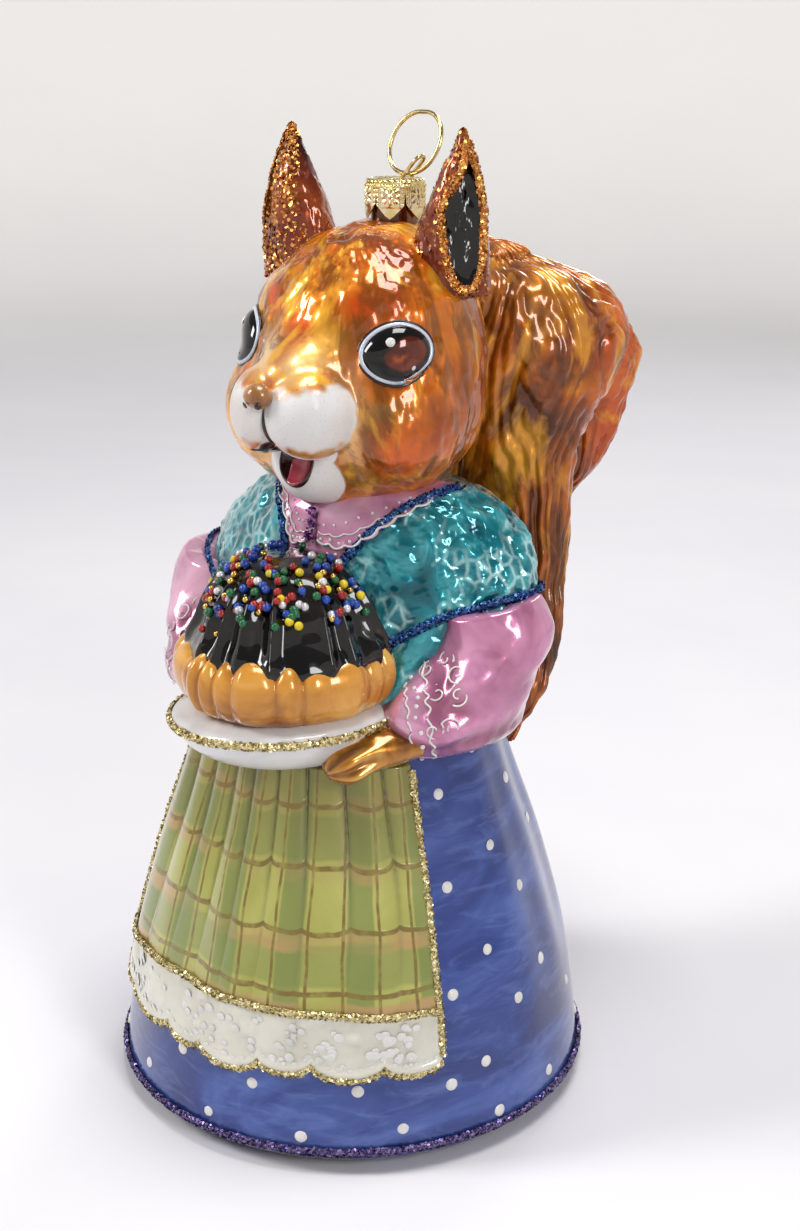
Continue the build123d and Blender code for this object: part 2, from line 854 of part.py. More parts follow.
with BuildPart() as wire_staple:
    with BuildLine() as staple_path:
        Polyline(*front_leg)
        ThreePointArc(front_leg[-1], arch_top, back_leg[-1])
        Polyline(*back_leg[::-1])
    with BuildSketch(Plane(origin=front_leg[0], z_dir=leg_way)):
        Circle(staple_radius)
    sweep(path=staple_path.line, transition=Transition.ROUND)


# Hanging ring, standing on the cap's top inside the arch and leaning back on a short straight foot
ring_across = Vector(cos(radians(ring_turn)), sin(radians(ring_turn)), 0)
ring_back = Vector(-sin(radians(ring_turn)), cos(radians(ring_turn)), 0)
ring_up = ring_back * sin(radians(ring_lean)) + Vector(0, 0, cos(radians(ring_lean)))
ring_foot = Vector(
    ring_foot_side, crown_back - ring_foot_forward, cap_top_height + ring_gap + ring_wire_radius
)
ring_plane = Plane(
    origin=ring_foot + ring_up * ring_radius,
    x_dir=ring_across,
    z_dir=ring_across.cross(ring_up),
)
ring_bend_side = ring_straight / 2

with BuildPart() as hanging_ring:
    with BuildLine(ring_plane) as ring_path:
        ring_foot_line = Line((-ring_bend_side, -ring_radius), (ring_bend_side, -ring_radius))
        ThreePointArc(
            (ring_bend_side, -ring_radius), (ring_bend_side + ring_radius, 0), (ring_bend_side, ring_radius)
        )
        Line((ring_bend_side, ring_radius), (-ring_bend_side, ring_radius))
        ThreePointArc(
            (-ring_bend_side, ring_radius), (-ring_bend_side - ring_radius, 0), (-ring_bend_side, -ring_radius)
        )
    with BuildSketch(Plane(origin=ring_foot_line @ 0, z_dir=ring_foot_line % 0)):
        Circle(ring_wire_radius)
    sweep(path=ring_path.line)


# Finished pieces

pieces = {
    "base": base,
    "skirt": skirt,
    "hem_glitter": hem_glitter,
    "apron": apron,
    "apron_lace": apron_lace,
    "apron_side_glitter": apron_side_glitter,
    "lace_top_glitter": lace_top_glitter,
    "lace_edge_glitter": lace_edge_glitter,
    "bodice": bodice,
    "blouse_front": blouse_front,
    "blouse_buttons": blouse_buttons,
    "collar": collar,
    "vest_neck_glitter": vest_neck_glitter,
    "vest_arm_glitter": vest_arm_glitter,
    "sleeve_left": sleeve_left,
    "sleeve_right": sleeve_right,
    "paw_left": paw_left,
    "paw_right": paw_right,
    "plate": plate,
    "plate_rim_glitter": plate_rim_glitter,
    "cake_crust": cake_crust,
    "cake_glaze": cake_glaze,
    "beads_red": beads_red,
    "beads_blue": beads_blue,
    "beads_green": beads_green,
    "beads_gold": beads_gold,
    "beads_clear": beads_clear,
    "beads_yellow": beads_yellow,
    "tail": tail,
    "head": head,
    "muzzle": muzzle,
    "chin": chin,
    "nose": nose,
    "mouth": mouth,
    "tongue": tongue,
    "eye_left": eye_left,
    "eye_right": eye_right,
    "ear_left": ear_left,
    "ear_right": ear_right,
    "ear_lining_left": ear_lining_left,
    "ear_lining_right": ear_lining_right,
    "ear_rim_glitter_left": ear_rim_glitter_left,
    "ear_rim_glitter_right": ear_rim_glitter_right,
    "blow_pipe": blow_pipe,
    "crown_cap": crown_cap,
    "wire_staple": wire_staple,
    "hanging_ring": hanging_ring,
}

os.makedirs("parts", exist_ok=True)
for name, piece in pieces.items():
    piece.part.label = name
    export_step(piece.part, f"parts/{name}.step")
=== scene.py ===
from math import cos, pi, radians, sin

import bpy
import numpy as np
from mathutils import Matrix, Vector


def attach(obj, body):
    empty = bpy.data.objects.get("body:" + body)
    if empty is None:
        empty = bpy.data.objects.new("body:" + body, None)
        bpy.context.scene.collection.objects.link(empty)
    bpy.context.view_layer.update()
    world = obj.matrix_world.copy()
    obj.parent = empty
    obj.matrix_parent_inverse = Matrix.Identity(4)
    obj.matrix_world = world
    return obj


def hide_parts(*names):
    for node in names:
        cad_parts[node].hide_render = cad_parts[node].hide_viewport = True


# Looks of a blown glass squirrel ornament. Lengths in this script are millimetres until a mesh is
# made. The figure looks along -Y, its left side is +X, and angles round it count from the front.

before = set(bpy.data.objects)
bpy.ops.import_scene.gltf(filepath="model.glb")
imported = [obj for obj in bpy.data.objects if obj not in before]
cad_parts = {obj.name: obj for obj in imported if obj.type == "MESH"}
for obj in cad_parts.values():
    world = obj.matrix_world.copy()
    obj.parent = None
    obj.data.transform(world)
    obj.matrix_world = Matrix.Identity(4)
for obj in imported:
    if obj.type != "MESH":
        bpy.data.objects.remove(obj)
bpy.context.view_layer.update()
MM = 0.001
GLASS = "ornament"


# Numbers: spline, noise and small curves

def natural(table, at):
    """Natural cubic spline through rows whose first column is the station, read at given stations."""
    table = np.asarray(table, float)
    x, y = table[:, 0], table[:, 1:]
    gap = np.diff(x)
    count = len(x)
    system = np.eye(count)
    right = np.zeros_like(y)
    inner = np.arange(1, count - 1)
    system[inner, inner - 1] = gap[:-1]
    system[inner, inner] = 2 * (gap[:-1] + gap[1:])
    system[inner, inner + 1] = gap[1:]
    slope = np.diff(y, axis=0) / gap[:, None]
    right[1:-1] = 6 * np.diff(slope, axis=0)
    bend = np.linalg.solve(system, right)
    at = np.clip(np.asarray(at, float), x[0], x[-1])
    place = np.clip(np.searchsorted(x, at, side="right") - 1, 0, count - 2)
    h = gap[place][..., None]
    a = (x[place + 1][..., None] - at[..., None]) / h
    b = 1 - a
    return (
        a * y[place] + b * y[place + 1]
        + ((a ** 3 - a) * bend[place] + (b ** 3 - b) * bend[place + 1]) * h ** 2 / 6
    )


def noise(points, scale, seed):
    """Smooth value noise from -1 to 1: lattice numbers blended by the smooth step between nodes."""
    table = np.random.default_rng(seed).random((32, 32, 32)) * 2 - 1
    spot = np.asarray(points, float) * scale
    base = np.floor(spot).astype(int)
    part = spot - base
    part = part * part * (3 - 2 * part)
    total = 0
    for corner in np.ndindex(2, 2, 2):
        node = (base + corner) % 32
        weight = np.prod(np.where(np.array(corner) == 1, part, 1 - part), axis=-1)
        total = total + weight * table[node[..., 0], node[..., 1], node[..., 2]]
    return total


def layered(points, scale, seed, layers=3):
    """Noise summed over layers, each twice as fine and half as strong."""
    return sum(noise(points, scale * 2 ** k, seed + k) / 2 ** k for k in range(layers))


def ease(value, low, high):
    """Smooth step from 0 at low to 1 at high."""
    share = np.clip((value - low) / (high - low), 0, 1)
    return share * share * (3 - 2 * share)


def bell(value, middle, width):
    """Gauss bell of height 1 about middle."""
    return np.exp(-((value - middle) / width) ** 2)


def turn_z(points, degrees):
    """Points turned about the upright axis."""
    c, s = cos(radians(degrees)), sin(radians(degrees))
    return points @ np.array([[c, s, 0], [-s, c, 0], [0, 0, 1]])


def normals_of(points, wrap):
    """Unit cross products of the grid's two differences; columns wrap round if wrap is set."""
    down = np.gradient(points, axis=0)
    if wrap:
        across = (np.roll(points, -1, axis=1) - np.roll(points, 1, axis=1)) / 2
    else:
        across = np.gradient(points, axis=1)
    cross = np.cross(across, down)
    return cross / np.maximum(np.linalg.norm(cross, axis=-1, keepdims=True), 1e-9)


# Meshes: grids of points made into closed bodies, skins, tubes, domes and flakes

def make_mesh(name, points, faces, shades=None, uv=None, smooth=True):
    """Object from vertex rows, quads whose fourth index may be -1 for a triangle, and floats."""
    mesh = bpy.data.meshes.new(name)
    points = np.asarray(points, np.float32).reshape(-1, 3) * MM
    faces = np.asarray(faces, int)
    size = np.where(faces[:, 3] < 0, 3, 4)
    loops = faces.ravel()[(faces >= 0).ravel()]
    mesh.vertices.add(len(points))
    mesh.vertices.foreach_set("co", points.ravel())
    mesh.loops.add(len(loops))
    mesh.loops.foreach_set("vertex_index", loops.astype(np.int32))
    mesh.polygons.add(len(faces))
    mesh.polygons.foreach_set("loop_start", (np.cumsum(size) - size).astype(np.int32))
    mesh.polygons.foreach_set("use_smooth", np.full(len(faces), smooth))
    mesh.update(calc_edges=True)
    for key, values in (shades or {}).items():
        layer = mesh.attributes.new(key, "FLOAT", "POINT")
        layer.data.foreach_set("value", np.asarray(values, np.float32).ravel())
    if uv is not None:
        layer = mesh.uv_layers.new(name="flat")
        layer.data.foreach_set("uv", np.asarray(uv, np.float32).reshape(-1, 2)[loops].ravel())
    mesh.validate()
    made = bpy.data.objects.new(name, mesh)
    bpy.context.scene.collection.objects.link(made)
    return made


SIDES = ((1, "left"), (-1, "right"))


def settle(piece, material, replaces=(), body=GLASS):
    """Give the piece its material, its body and the nodes that it stands for."""
    piece.data.materials.clear()
    piece.data.materials.append(material)
    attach(piece, body)
    if replaces:
        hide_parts(*replaces)


def grid_faces(rows, columns, wrap):
    """Quads between neighbouring rows and columns, running on from the last column if wrap is set."""
    row, column = np.meshgrid(
        np.arange(rows - 1), np.arange(columns if wrap else columns - 1), indexing="ij"
    )
    after = (column + 1) % columns
    quads = [row * columns + column, row * columns + after]
    quads += [(row + 1) * columns + after, (row + 1) * columns + column]
    return np.stack(quads, -1).reshape(-1, 4)


def closed_faces(rows, columns):
    """Faces of closed rings from low to high, with fans to the two end points listed after them."""
    ring = np.arange(columns)
    after = (ring + 1) % columns
    none = np.full(columns, -1)
    low_end = rows * columns
    last = low_end - columns
    low_fan = np.stack([after, ring, np.full(columns, low_end), none], -1)
    high_fan = np.stack([last + ring, last + after, np.full(columns, low_end + 1), none], -1)
    return np.vstack([grid_faces(rows, columns, True), low_fan, high_fan])


def turned_out(points, faces):
    """Faces of a closed body, turned over where the body's volume comes out negative."""
    corner = points[faces[:, :3]]
    volume = np.einsum("ij,ij->i", corner[:, 0], np.cross(corner[:, 1], corner[:, 2])).sum()
    if volume < 0:
        return np.where(faces[:, 3:] < 0, faces[:, [2, 1, 0, 3]], faces[:, ::-1])
    return faces


def turned_along(points, faces, ways):
    """Quads, turned over where their cross products point against the ways given for them."""
    quad = points[faces]
    facing = np.cross(quad[:, 1] - quad[:, 0], quad[:, 3] - quad[:, 0])
    return faces[:, ::-1] if (facing * ways).sum() < 0 else faces


def closed_mesh(name, points, shades=None):
    """Ball-like mesh: rows of closed rings from low to high, shut at both ends by middle points."""
    every = np.vstack([points.reshape(-1, 3), points[0].mean(0), points[-1].mean(0)])
    faces = turned_out(every, closed_faces(*points.shape[:2]))
    shades = {
        key: np.concatenate([np.asarray(v).ravel(), [np.mean(v[0]), np.mean(v[-1])]])
        for key, v in (shades or {}).items()
    }
    return make_mesh(name, every, faces, shades)


def skin_mesh(name, points, outward, depth, shades=None, uv=None):
    """Raised skin: a grid whose edges turn down along minus outward by depth."""
    pads = ((1, 1), (1, 1))
    points = np.pad(points, pads + ((0, 0),), mode="edge")
    outward = np.pad(outward, pads + ((0, 0),), mode="edge")
    edge = np.ones(points.shape[:2], bool)
    edge[1:-1, 1:-1] = False
    points = np.where(edge[..., None], points - outward * depth, points).reshape(-1, 3)
    faces = grid_faces(*edge.shape, False)
    faces = turned_along(points, faces, outward.reshape(-1, 3)[faces[:, 0]])
    shades = {key: np.pad(v, pads, mode="edge") for key, v in (shades or {}).items()}
    if uv is not None:
        uv = np.pad(uv, pads + ((0, 0),), mode="edge")
    return make_mesh(name, points, faces, shades, uv)


def frames_along(path, closed, guide=(0, 0, 1)):
    """Unit side and up vectors across a path, the side level with the guide's normal plane."""
    if closed:
        along = np.roll(path, -1, axis=0) - np.roll(path, 1, axis=0)
    else:
        along = np.gradient(path, axis=0)
    along /= np.maximum(np.linalg.norm(along, axis=1, keepdims=True), 1e-9)
    side = np.cross(along, guide)
    side /= np.maximum(np.linalg.norm(side, axis=1, keepdims=True), 1e-6)
    return side, np.cross(side, along)


def tube_mesh(name, path, radius, sides=12, closed=False, guide=(0, 0, 1)):
    """Tube round a path: each ring is side times cosine plus up times sine, times the radius there."""
    path = np.asarray(path, float)
    side, up = frames_along(path, closed, guide)
    angle = np.linspace(0, 2 * pi, sides, endpoint=False)
    radius = np.broadcast_to(np.asarray(radius, float), (len(path),))[:, None, None]
    points = path[:, None] + radius * (
        side[:, None] * np.cos(angle)[:, None] + up[:, None] * np.sin(angle)[:, None]
    )
    if not closed:
        return closed_mesh(name, points)
    points = points.reshape(-1, 3)
    faces = grid_faces(len(path) + 1, sides, True) % len(points)
    away = points[faces].mean(1) - path[faces[:, 0] // sides]
    return make_mesh(name, points, turned_along(points, faces, away))


def domes_mesh(name, middles, outward, radius, height, rings=3, sides=10):
    """Many low round caps: rings of sine times the radius, raised by cosine times the height."""
    middles = np.asarray(middles, float)
    outward = np.asarray(outward, float)
    outward = outward / np.linalg.norm(outward, axis=1, keepdims=True)
    radius = np.broadcast_to(np.asarray(radius, float), (len(middles),))
    height = np.broadcast_to(np.asarray(height, float), (len(middles),))
    helper = np.where(np.abs(outward[:, 2:]) > 0.9, [[1.0, 0, 0]], [[0, 0, 1.0]])
    side = np.cross(helper, outward)
    side /= np.linalg.norm(side, axis=1, keepdims=True)
    up = np.cross(outward, side)
    tilt = np.linspace(pi / 2, 0, rings + 1)[:-1, None]
    angle = np.linspace(0, 2 * pi, sides, endpoint=False)
    rise = (np.cos(tilt) * np.ones(sides)).ravel()
    x = (np.sin(tilt) * np.cos(angle)).ravel()
    y = (np.sin(tilt) * np.sin(angle)).ravel()
    points = (
        middles[:, None]
        + radius[:, None, None] * (side[:, None] * x[:, None] + up[:, None] * y[:, None])
        + (height[:, None, None] * rise[:, None]) * outward[:, None]
    )
    tops = middles + outward * height[:, None]
    points = np.concatenate([points, tops[:, None]], axis=1)
    last = (rings - 1) * sides
    spot = np.arange(sides)
    top = np.full(sides, rings * sides)
    fan = np.stack([last + spot, last + (spot + 1) % sides, top, np.full(sides, -1)], -1)
    faces = np.vstack([grid_faces(rings, sides, True), fan])
    return make_mesh(name, points.reshape(-1, 3), repeated(faces, len(middles), rings * sides + 1))


def repeated(faces, copies, count):
    """Faces of many copies of a small body, each copy's corners count further on."""
    shift = (np.arange(copies) * count)[:, None, None]
    return np.where(faces[None] < 0, -1, faces[None] + shift).reshape(-1, 4)


def flakes_mesh(name, middles, outward, size, seed, spread=0.5, lift=0.1):
    """Hundreds of six-sided flakes: each a small flat hexagon whose normal leans at random."""
    random = np.random.default_rng(seed)
    middles = np.asarray(middles, float)
    count = len(middles)
    outward = np.asarray(outward, float)
    outward = outward / np.linalg.norm(outward, axis=1, keepdims=True)
    lean = outward + random.normal(0, spread, (count, 3))
    lean /= np.linalg.norm(lean, axis=1, keepdims=True)
    side = np.cross(lean, random.normal(0, 1, (count, 3)))
    side /= np.linalg.norm(side, axis=1, keepdims=True)
    up = np.cross(lean, side)
    angle = np.linspace(0, 2 * pi, 6, endpoint=False)
    reach = (size * random.uniform(0.7, 1.25, count))[:, None, None]
    points = (middles + outward * random.uniform(0, lift, count)[:, None])[:, None] + reach * (
        side[:, None] * np.cos(angle)[:, None] + up[:, None] * np.sin(angle)[:, None]
    )
    first = (np.arange(count) * 6)[:, None]
    faces = np.concatenate([first + [0, 1, 2, 3], first + [0, 3, 4, 5]])
    tint = np.repeat(random.random(count), 6)
    return make_mesh(name, points.reshape(-1, 3), faces, {"flake": tint}, smooth=False)


# Materials: paint on silvered glass, glitter and glue

def tone(red, green, blue):
    """Linear colour from the 0 to 255 values of a screen colour."""
    share = np.array([red, green, blue]) / 255
    return tuple(np.where(share <= 0.04045, share / 12.92, ((share + 0.055) / 1.055) ** 2.4)) + (1.0,)


def add_node(tree, kind, inputs=(), **settings):
    """New node in a tree: its settings first, then each input linked or given its own value."""
    made = tree.nodes.new(kind)
    for key, value in settings.items():
        setattr(made, key, value)
    for key, value in (inputs.items() if isinstance(inputs, dict) else enumerate(inputs)):
        if isinstance(value, bpy.types.NodeSocket):
            tree.links.new(value, made.inputs[key])
        else:
            made.inputs[key].default_value = value
    return made


def mix_nodes(tree, factor, first, second, blend="MIX"):
    """Colour that goes from the first to the second colour by the factor."""
    inputs = {0: factor, 6: first, 7: second}
    return add_node(tree, "ShaderNodeMix", inputs, data_type="RGBA", blend_type=blend).outputs[2]


class Look:
    """A material while it is built: its node tree, its shader, and short ways to add nodes."""

    def __init__(self, name, **sockets):
        self.material = bpy.data.materials.new(name)
        self.material.use_nodes = True
        self.tree = self.material.node_tree
        self.shader = self.tree.nodes["Principled BSDF"]
        for key, value in sockets.items():
            self.shader.inputs[key.replace("_", " ")].default_value = value
        self.place = self.node("ShaderNodeTexCoord").outputs["Object"]

    def node(self, kind, inputs=(), **settings):
        return add_node(self.tree, kind, inputs, **settings)

    def math(self, operation, *values):
        return self.node("ShaderNodeMath", values, operation=operation).outputs[0]

    def times(self, first, second):
        return self.math("MULTIPLY", first, second)

    def spot(self, stretch):
        """Object coordinates stretched along the axes."""
        return self.node("ShaderNodeMapping", {"Vector": self.place, "Scale": stretch}).outputs[0]

    def noise(self, scale, stretch=(1, 1, 1), detail=3.0, warp=0.0):
        inputs = {
            "Vector": self.spot(stretch), "Scale": scale, "Detail": detail, "Distortion": warp,
            "Roughness": 0.55,
        }
        return self.node("ShaderNodeTexNoise", inputs).outputs["Fac"]

    def cells(self, scale, stretch=(1, 1, 1), feature="F1"):
        inputs = {"Vector": self.spot(stretch), "Scale": scale}
        return self.node("ShaderNodeTexVoronoi", inputs, feature=feature).outputs

    def shade(self, name):
        """Share from 0 to 1 that the mesh carries under a name."""
        return self.node("ShaderNodeAttribute", attribute_name=name).outputs["Fac"]

    def ramp(self, factor, *stops):
        """Colour or grey read from the factor between the given stops."""
        made = self.node("ShaderNodeValToRGB", [factor])
        band = made.color_ramp
        while len(band.elements) < len(stops):
            band.elements.new(0.5)
        for element, (spot, colour) in zip(band.elements, stops):
            element.position = spot
            element.color = colour if isinstance(colour, tuple) else (colour, colour, colour, 1)
        return made.outputs["Color"]

    def mix(self, factor, first, second):
        return mix_nodes(self.tree, factor, first, second)

    def group(self, tree, inputs):
        return self.node("ShaderNodeGroup", inputs, node_tree=tree).outputs

    def feed(self, **sockets):
        """Link outputs to the shader's sockets of those names."""
        for key, value in sockets.items():
            self.tree.links.new(value, self.shader.inputs[key.replace("_", " ")])

    def bump(self, height, strength=0.3, distance=0.0003):
        inputs = {"Strength": strength, "Distance": distance, "Height": height}
        self.feed(Normal=self.node("ShaderNodeBump", inputs).outputs[0])


def effect(name, inputs, outputs):
    """A shader node group with named inputs (name, kind, default) and outputs, and its two ends."""
    tree = bpy.data.node_groups.new(name, "ShaderNodeTree")
    for key, kind, value in inputs:
        made = tree.interface.new_socket(key, in_out="INPUT", socket_type="NodeSocket" + kind)
        made.default_value = value
    for key, kind in outputs:
        tree.interface.new_socket(key, in_out="OUTPUT", socket_type="NodeSocket" + kind)
    start = tree.nodes.new("NodeGroupInput")
    end = tree.nodes.new("NodeGroupOutput")
    return tree, start, end


def paint_effect():
    """Hand paint over silvered glass: three colours by soft noise, with painted shade in the relief's
    hollows.
    """
    tree, start, end = effect(
        "paint",
        [
            ("Dark", "Color", (0, 0, 0, 1)), ("Middle", "Color", (0.5, 0.5, 0.5, 1)),
            ("Light", "Color", (1, 1, 1, 1)), ("Factor", "Float", 0.5), ("Relief", "Float", 0.5),
            ("Depth", "Float", 0.4),
        ],
        [("Color", "Color")],
    )
    given = start.outputs
    low = {"Value": given["Factor"], "From Min": 0.32, "From Max": 0.5}
    low = add_node(tree, "ShaderNodeMapRange", low).outputs[0]
    high = {"Value": given["Factor"], "From Min": 0.5, "From Max": 0.68}
    high = add_node(tree, "ShaderNodeMapRange", high).outputs[0]
    # Painted shade: low relief is multiplied by the dark colour, as strongly as the depth says.
    valley_shade = {"Value": given["Relief"], "To Min": 1.0, "To Max": 0.0}
    valley_shade = add_node(tree, "ShaderNodeMapRange", valley_shade).outputs[0]
    share = add_node(tree, "ShaderNodeMath", [valley_shade, given["Depth"]], operation="MULTIPLY").outputs[0]
    colour = mix_nodes(tree, low, given["Dark"], given["Middle"])
    colour = mix_nodes(tree, high, colour, given["Light"])
    colour = mix_nodes(tree, share, colour, given["Dark"], "MULTIPLY")
    tree.links.new(colour, end.inputs["Color"])
    return tree


def flake_effect():
    """Loose glitter: each flake's own random number picks between two colours and its roughness."""
    tree, start, end = effect(
        "flakes",
        [("Main", "Color", (0.8, 0.6, 0.2, 1)), ("Other", "Color", (1, 0.9, 0.6, 1))],
        [("Color", "Color"), ("Roughness", "Float")],
    )
    tint = add_node(tree, "ShaderNodeAttribute", attribute_name="flake").outputs["Fac"]
    rough = add_node(tree, "ShaderNodeMapRange", {"Value": tint, "To Min": 0.12, "To Max": 0.4})
    colour = mix_nodes(tree, tint, start.outputs["Main"], start.outputs["Other"])
    tree.links.new(colour, end.inputs["Color"])
    tree.links.new(rough.outputs[0], end.inputs["Roughness"])
    return tree


PAINT = paint_effect()
FLAKES = flake_effect()


def lacquer(
    name, dark, middle, light, scale=60.0, stretch=(1, 1, 1), metallic=0.5, roughness=0.28,
    coat=1.0, relief=None, depth=0.5, warp=0.6, bump=0.15, grain=900.0,
):
    """Clear lacquer over painted glass, mottled by noise, with painted shade in the relief's hollows."""
    look = Look(
        name, Metallic=metallic, Roughness=roughness, Coat_Weight=coat, Coat_Roughness=0.035,
        Coat_IOR=1.45, Specular_IOR_Level=0.12,
    )
    factor = look.noise(scale, stretch, 4.0, warp)
    inputs = {"Dark": dark, "Middle": middle, "Light": light, "Factor": factor, "Depth": depth}
    if relief:
        inputs["Relief"] = look.shade(relief)
    colour = look.group(PAINT, inputs)["Color"]
    look.colour = colour
    look.feed(Base_Color=colour)
    look.bump(look.noise(grain, (1, 1, 1), 2.0), bump, 0.0002)
    return look


def glitter(name, main, other):
    """Metal-bright flakes in two colours."""
    look = Look(name, Metallic=0.9, Roughness=0.25, Specular_IOR_Level=0.6)
    out = look.group(FLAKES, {"Main": main, "Other": other})
    look.feed(Base_Color=out["Color"], Roughness=out["Roughness"])
    return look.material


def glue(name, main, other):
    """The glue bed under a glitter line: fine speckle of the flakes' two colours."""
    look = Look(name, Metallic=0.6, Roughness=0.35, Coat_Weight=0.3)
    cells = look.cells(2600.0)
    look.feed(Base_Color=look.ramp(cells["Color"], (0.3, main), (0.7, other)))
    look.bump(cells["Distance"], 0.8, 0.0003)
    return look.material


# Skirt, apron and lace

HEM_RADIUS, HEM_HEIGHT, FOOT_RADIUS, WAIST_HEIGHT = 41.0, 3.5, 33.0, 68.0
SKIRT_EDGE = [
    (3.5, 41.0), (6.8, 40.7), (15.3, 39.5), (24.8, 37.9), (34.0, 35.5), (44.9, 32.2), (55.8, 28.3),
    (68.0, 24.6),
]
APRON_HALF_ANGLE = 57.0
APRON_LOW, APRON_HIGH, APRON_LAYER = 26.4, 64.5, 0.75
FLAKE_SIZE = 0.24


def skirt_radius(height, degrees):
    """Radius of the skirt: its edge spline plus soft folds that fade towards the hem."""
    round_way = np.radians(degrees)
    fold = (
        0.32 * np.sin(9 * round_way + 0.6) + 0.22 * np.sin(17 * round_way + 1.7)
        + 0.25 * np.sin(5 * round_way)
    )
    reach = ease(height, 8, 34) * (1 - 0.4 * ease(height, 50, 68))
    return natural(SKIRT_EDGE, height)[..., 0] + fold * reach - 0.2


def pleats(height, degrees):
    """Apron pleats: rounded ridges between narrow grooves, deepest at the top."""
    shift = 0.18 * np.sin(np.radians(degrees) * 5.0) + 0.1 * np.sin(height / 9.0)
    wave = np.abs(np.sin(pi * (degrees / 11.4 + shift)))
    return (wave ** 0.55 - 0.72) * (0.25 + 1.0 * ease(height, 26, 62))


def front_points(height, degrees, radius):
    """Points at angles counted from the front."""
    way = np.radians(degrees)
    return np.stack([radius * np.sin(way), -radius * np.cos(way), height + 0 * way], -1)


def front_way(degrees):
    """Level unit vectors at angles counted from the front."""
    way = np.radians(degrees)
    return np.stack([np.sin(way), -np.cos(way), 0 * way], -1)


def skirt_look():
    """Brushed blue lacquer: level light and dark streaks over the mottled paint."""
    look = lacquer(
        "skirt_blue", tone(34, 50, 116), tone(52, 76, 152), tone(88, 114, 190), 60.0, (0.6, 0.6, 1.2),
        metallic=0.12, roughness=0.3, warp=1.2, bump=0.1,
    )
    fine = look.noise(330.0, (0.35, 0.35, 1.3), 4.0, 0.8)
    streak = look.mix(look.ramp(fine, (0.5, 0.0), (0.8, 0.5)), look.colour, tone(112, 134, 198))
    look.feed(Base_Color=look.mix(look.ramp(fine, (0.2, 0.5), (0.45, 0.0)), streak, tone(40, 56, 122)))
    return look


def skirt_pieces():
    """Skirt and foot: rings whose radius is the folded skirt's, closed under the hem by the foot,
    whose radius grows with the sine and whose height grows with one less the cosine."""
    degrees = np.linspace(-180, 180, 360, endpoint=False)[None]
    height = np.linspace(HEM_HEIGHT, WAIST_HEIGHT, 150)[:, None]
    skirt = closed_mesh("skirt", front_points(height, degrees, skirt_radius(height, degrees)))
    settle(skirt, skirt_look().material, ["skirt"])
    curve = np.linspace(0, 1, 24)[:, None]
    radius = FOOT_RADIUS + (HEM_RADIUS - FOOT_RADIUS) * np.sin(curve * pi / 2)
    height = HEM_HEIGHT * (1 - np.cos(curve * pi / 2))
    foot = closed_mesh("base", front_points(height, degrees, radius))
    # The foot is painted a darker blue than the skirt: painted shade under the hem.
    look = lacquer(
        "foot_blue", tone(20, 22, 70), tone(36, 40, 108), tone(60, 66, 150), 50.0, metallic=0.3,
    )
    settle(foot, look.material, ["base"])


def apron_look():
    """Plaid: wide dark bands, thin gold lines and worn peach bands over mottled green, all laid by
    the apron's own angle and height, which a soft noise and the pleats push about a little.
    Painted shade darkens its top and the pleats' hollows."""
    look = Look("apron_plaid", Metallic=0.12, Roughness=0.3, Coat_Weight=1.0, Coat_Roughness=0.04)
    flat = look.node("ShaderNodeUVMap", uv_map="flat").outputs[0]
    parts = look.node("ShaderNodeSeparateXYZ", [flat]).outputs
    wobble = look.times(look.math("SUBTRACT", look.noise(70.0), 0.5), 2.4)
    angle = look.math("ADD", look.times(parts[0], 100.0), wobble)
    rise = look.math("ADD", look.times(parts[1], 100.0), wobble)
    rise = look.math("ADD", rise, look.times(look.shade("relief"), 0.9))

    def stripes(value, period, start, width, soft):
        share = look.math("FRACT", look.math("DIVIDE", look.math("SUBTRACT", value, start), period))
        away = look.math("ABSOLUTE", look.math("SUBTRACT", share, 0.5))
        return look.ramp(away, (0.5 - width - soft, 0.0), (0.5 - width, 1.0))

    mottle = look.noise(85.0, (1, 1, 0.6), 4.0, 0.8)
    green = look.mix(look.ramp(mottle, (0.3, 0.0), (0.7, 1.0)), tone(160, 160, 62), tone(190, 188, 96))
    dark = tone(116, 130, 54)
    plaid = look.mix(look.times(stripes(angle, 18.6, 7.6, 0.17, 0.03), 0.75), green, dark)
    plaid = look.mix(look.times(stripes(rise, 19.0, 35.6, 0.16, 0.03), 0.5), plaid, dark)
    worn = look.ramp(look.noise(60.0, (1, 1, 1), 3.0, 0.6), (0.38, 0.1), (0.6, 0.85))
    plaid = look.mix(look.times(stripes(rise, 10.5, 28.4, 0.1, 0.06), worn), plaid, tone(190, 148, 92))
    # Painted shade: the apron darkens towards its top, under the plate, mottled a little.
    shade = look.ramp(parts[1], (0.46, 0.0), (0.62, 0.75))
    shade = look.times(shade, look.ramp(mottle, (0.3, 0.6), (0.7, 1.0)))
    plaid = look.mix(shade, plaid, tone(112, 98, 26))
    upright = stripes(angle, 9.3, 3.1, 0.034, 0.02)
    gold = look.math("MAXIMUM", upright, stripes(rise, 9.4, 31.2, 0.034, 0.02))
    worn = look.ramp(look.noise(420.0), (0.3, 0.35), (0.55, 1.0))
    plaid = look.mix(look.times(gold, worn), plaid, tone(122, 98, 14))
    # Painted shade: the pleats' hollows are darkened towards a dark olive.
    valley_shade = look.ramp(look.shade("relief"), (0.0, 1.0), (0.8, 0.0))
    look.feed(Base_Color=look.mix(look.times(valley_shade, 0.6), plaid, tone(84, 84, 22)))
    look.bump(look.math("ADD", look.noise(700.0), gold), 0.2, 0.0002)
    return look


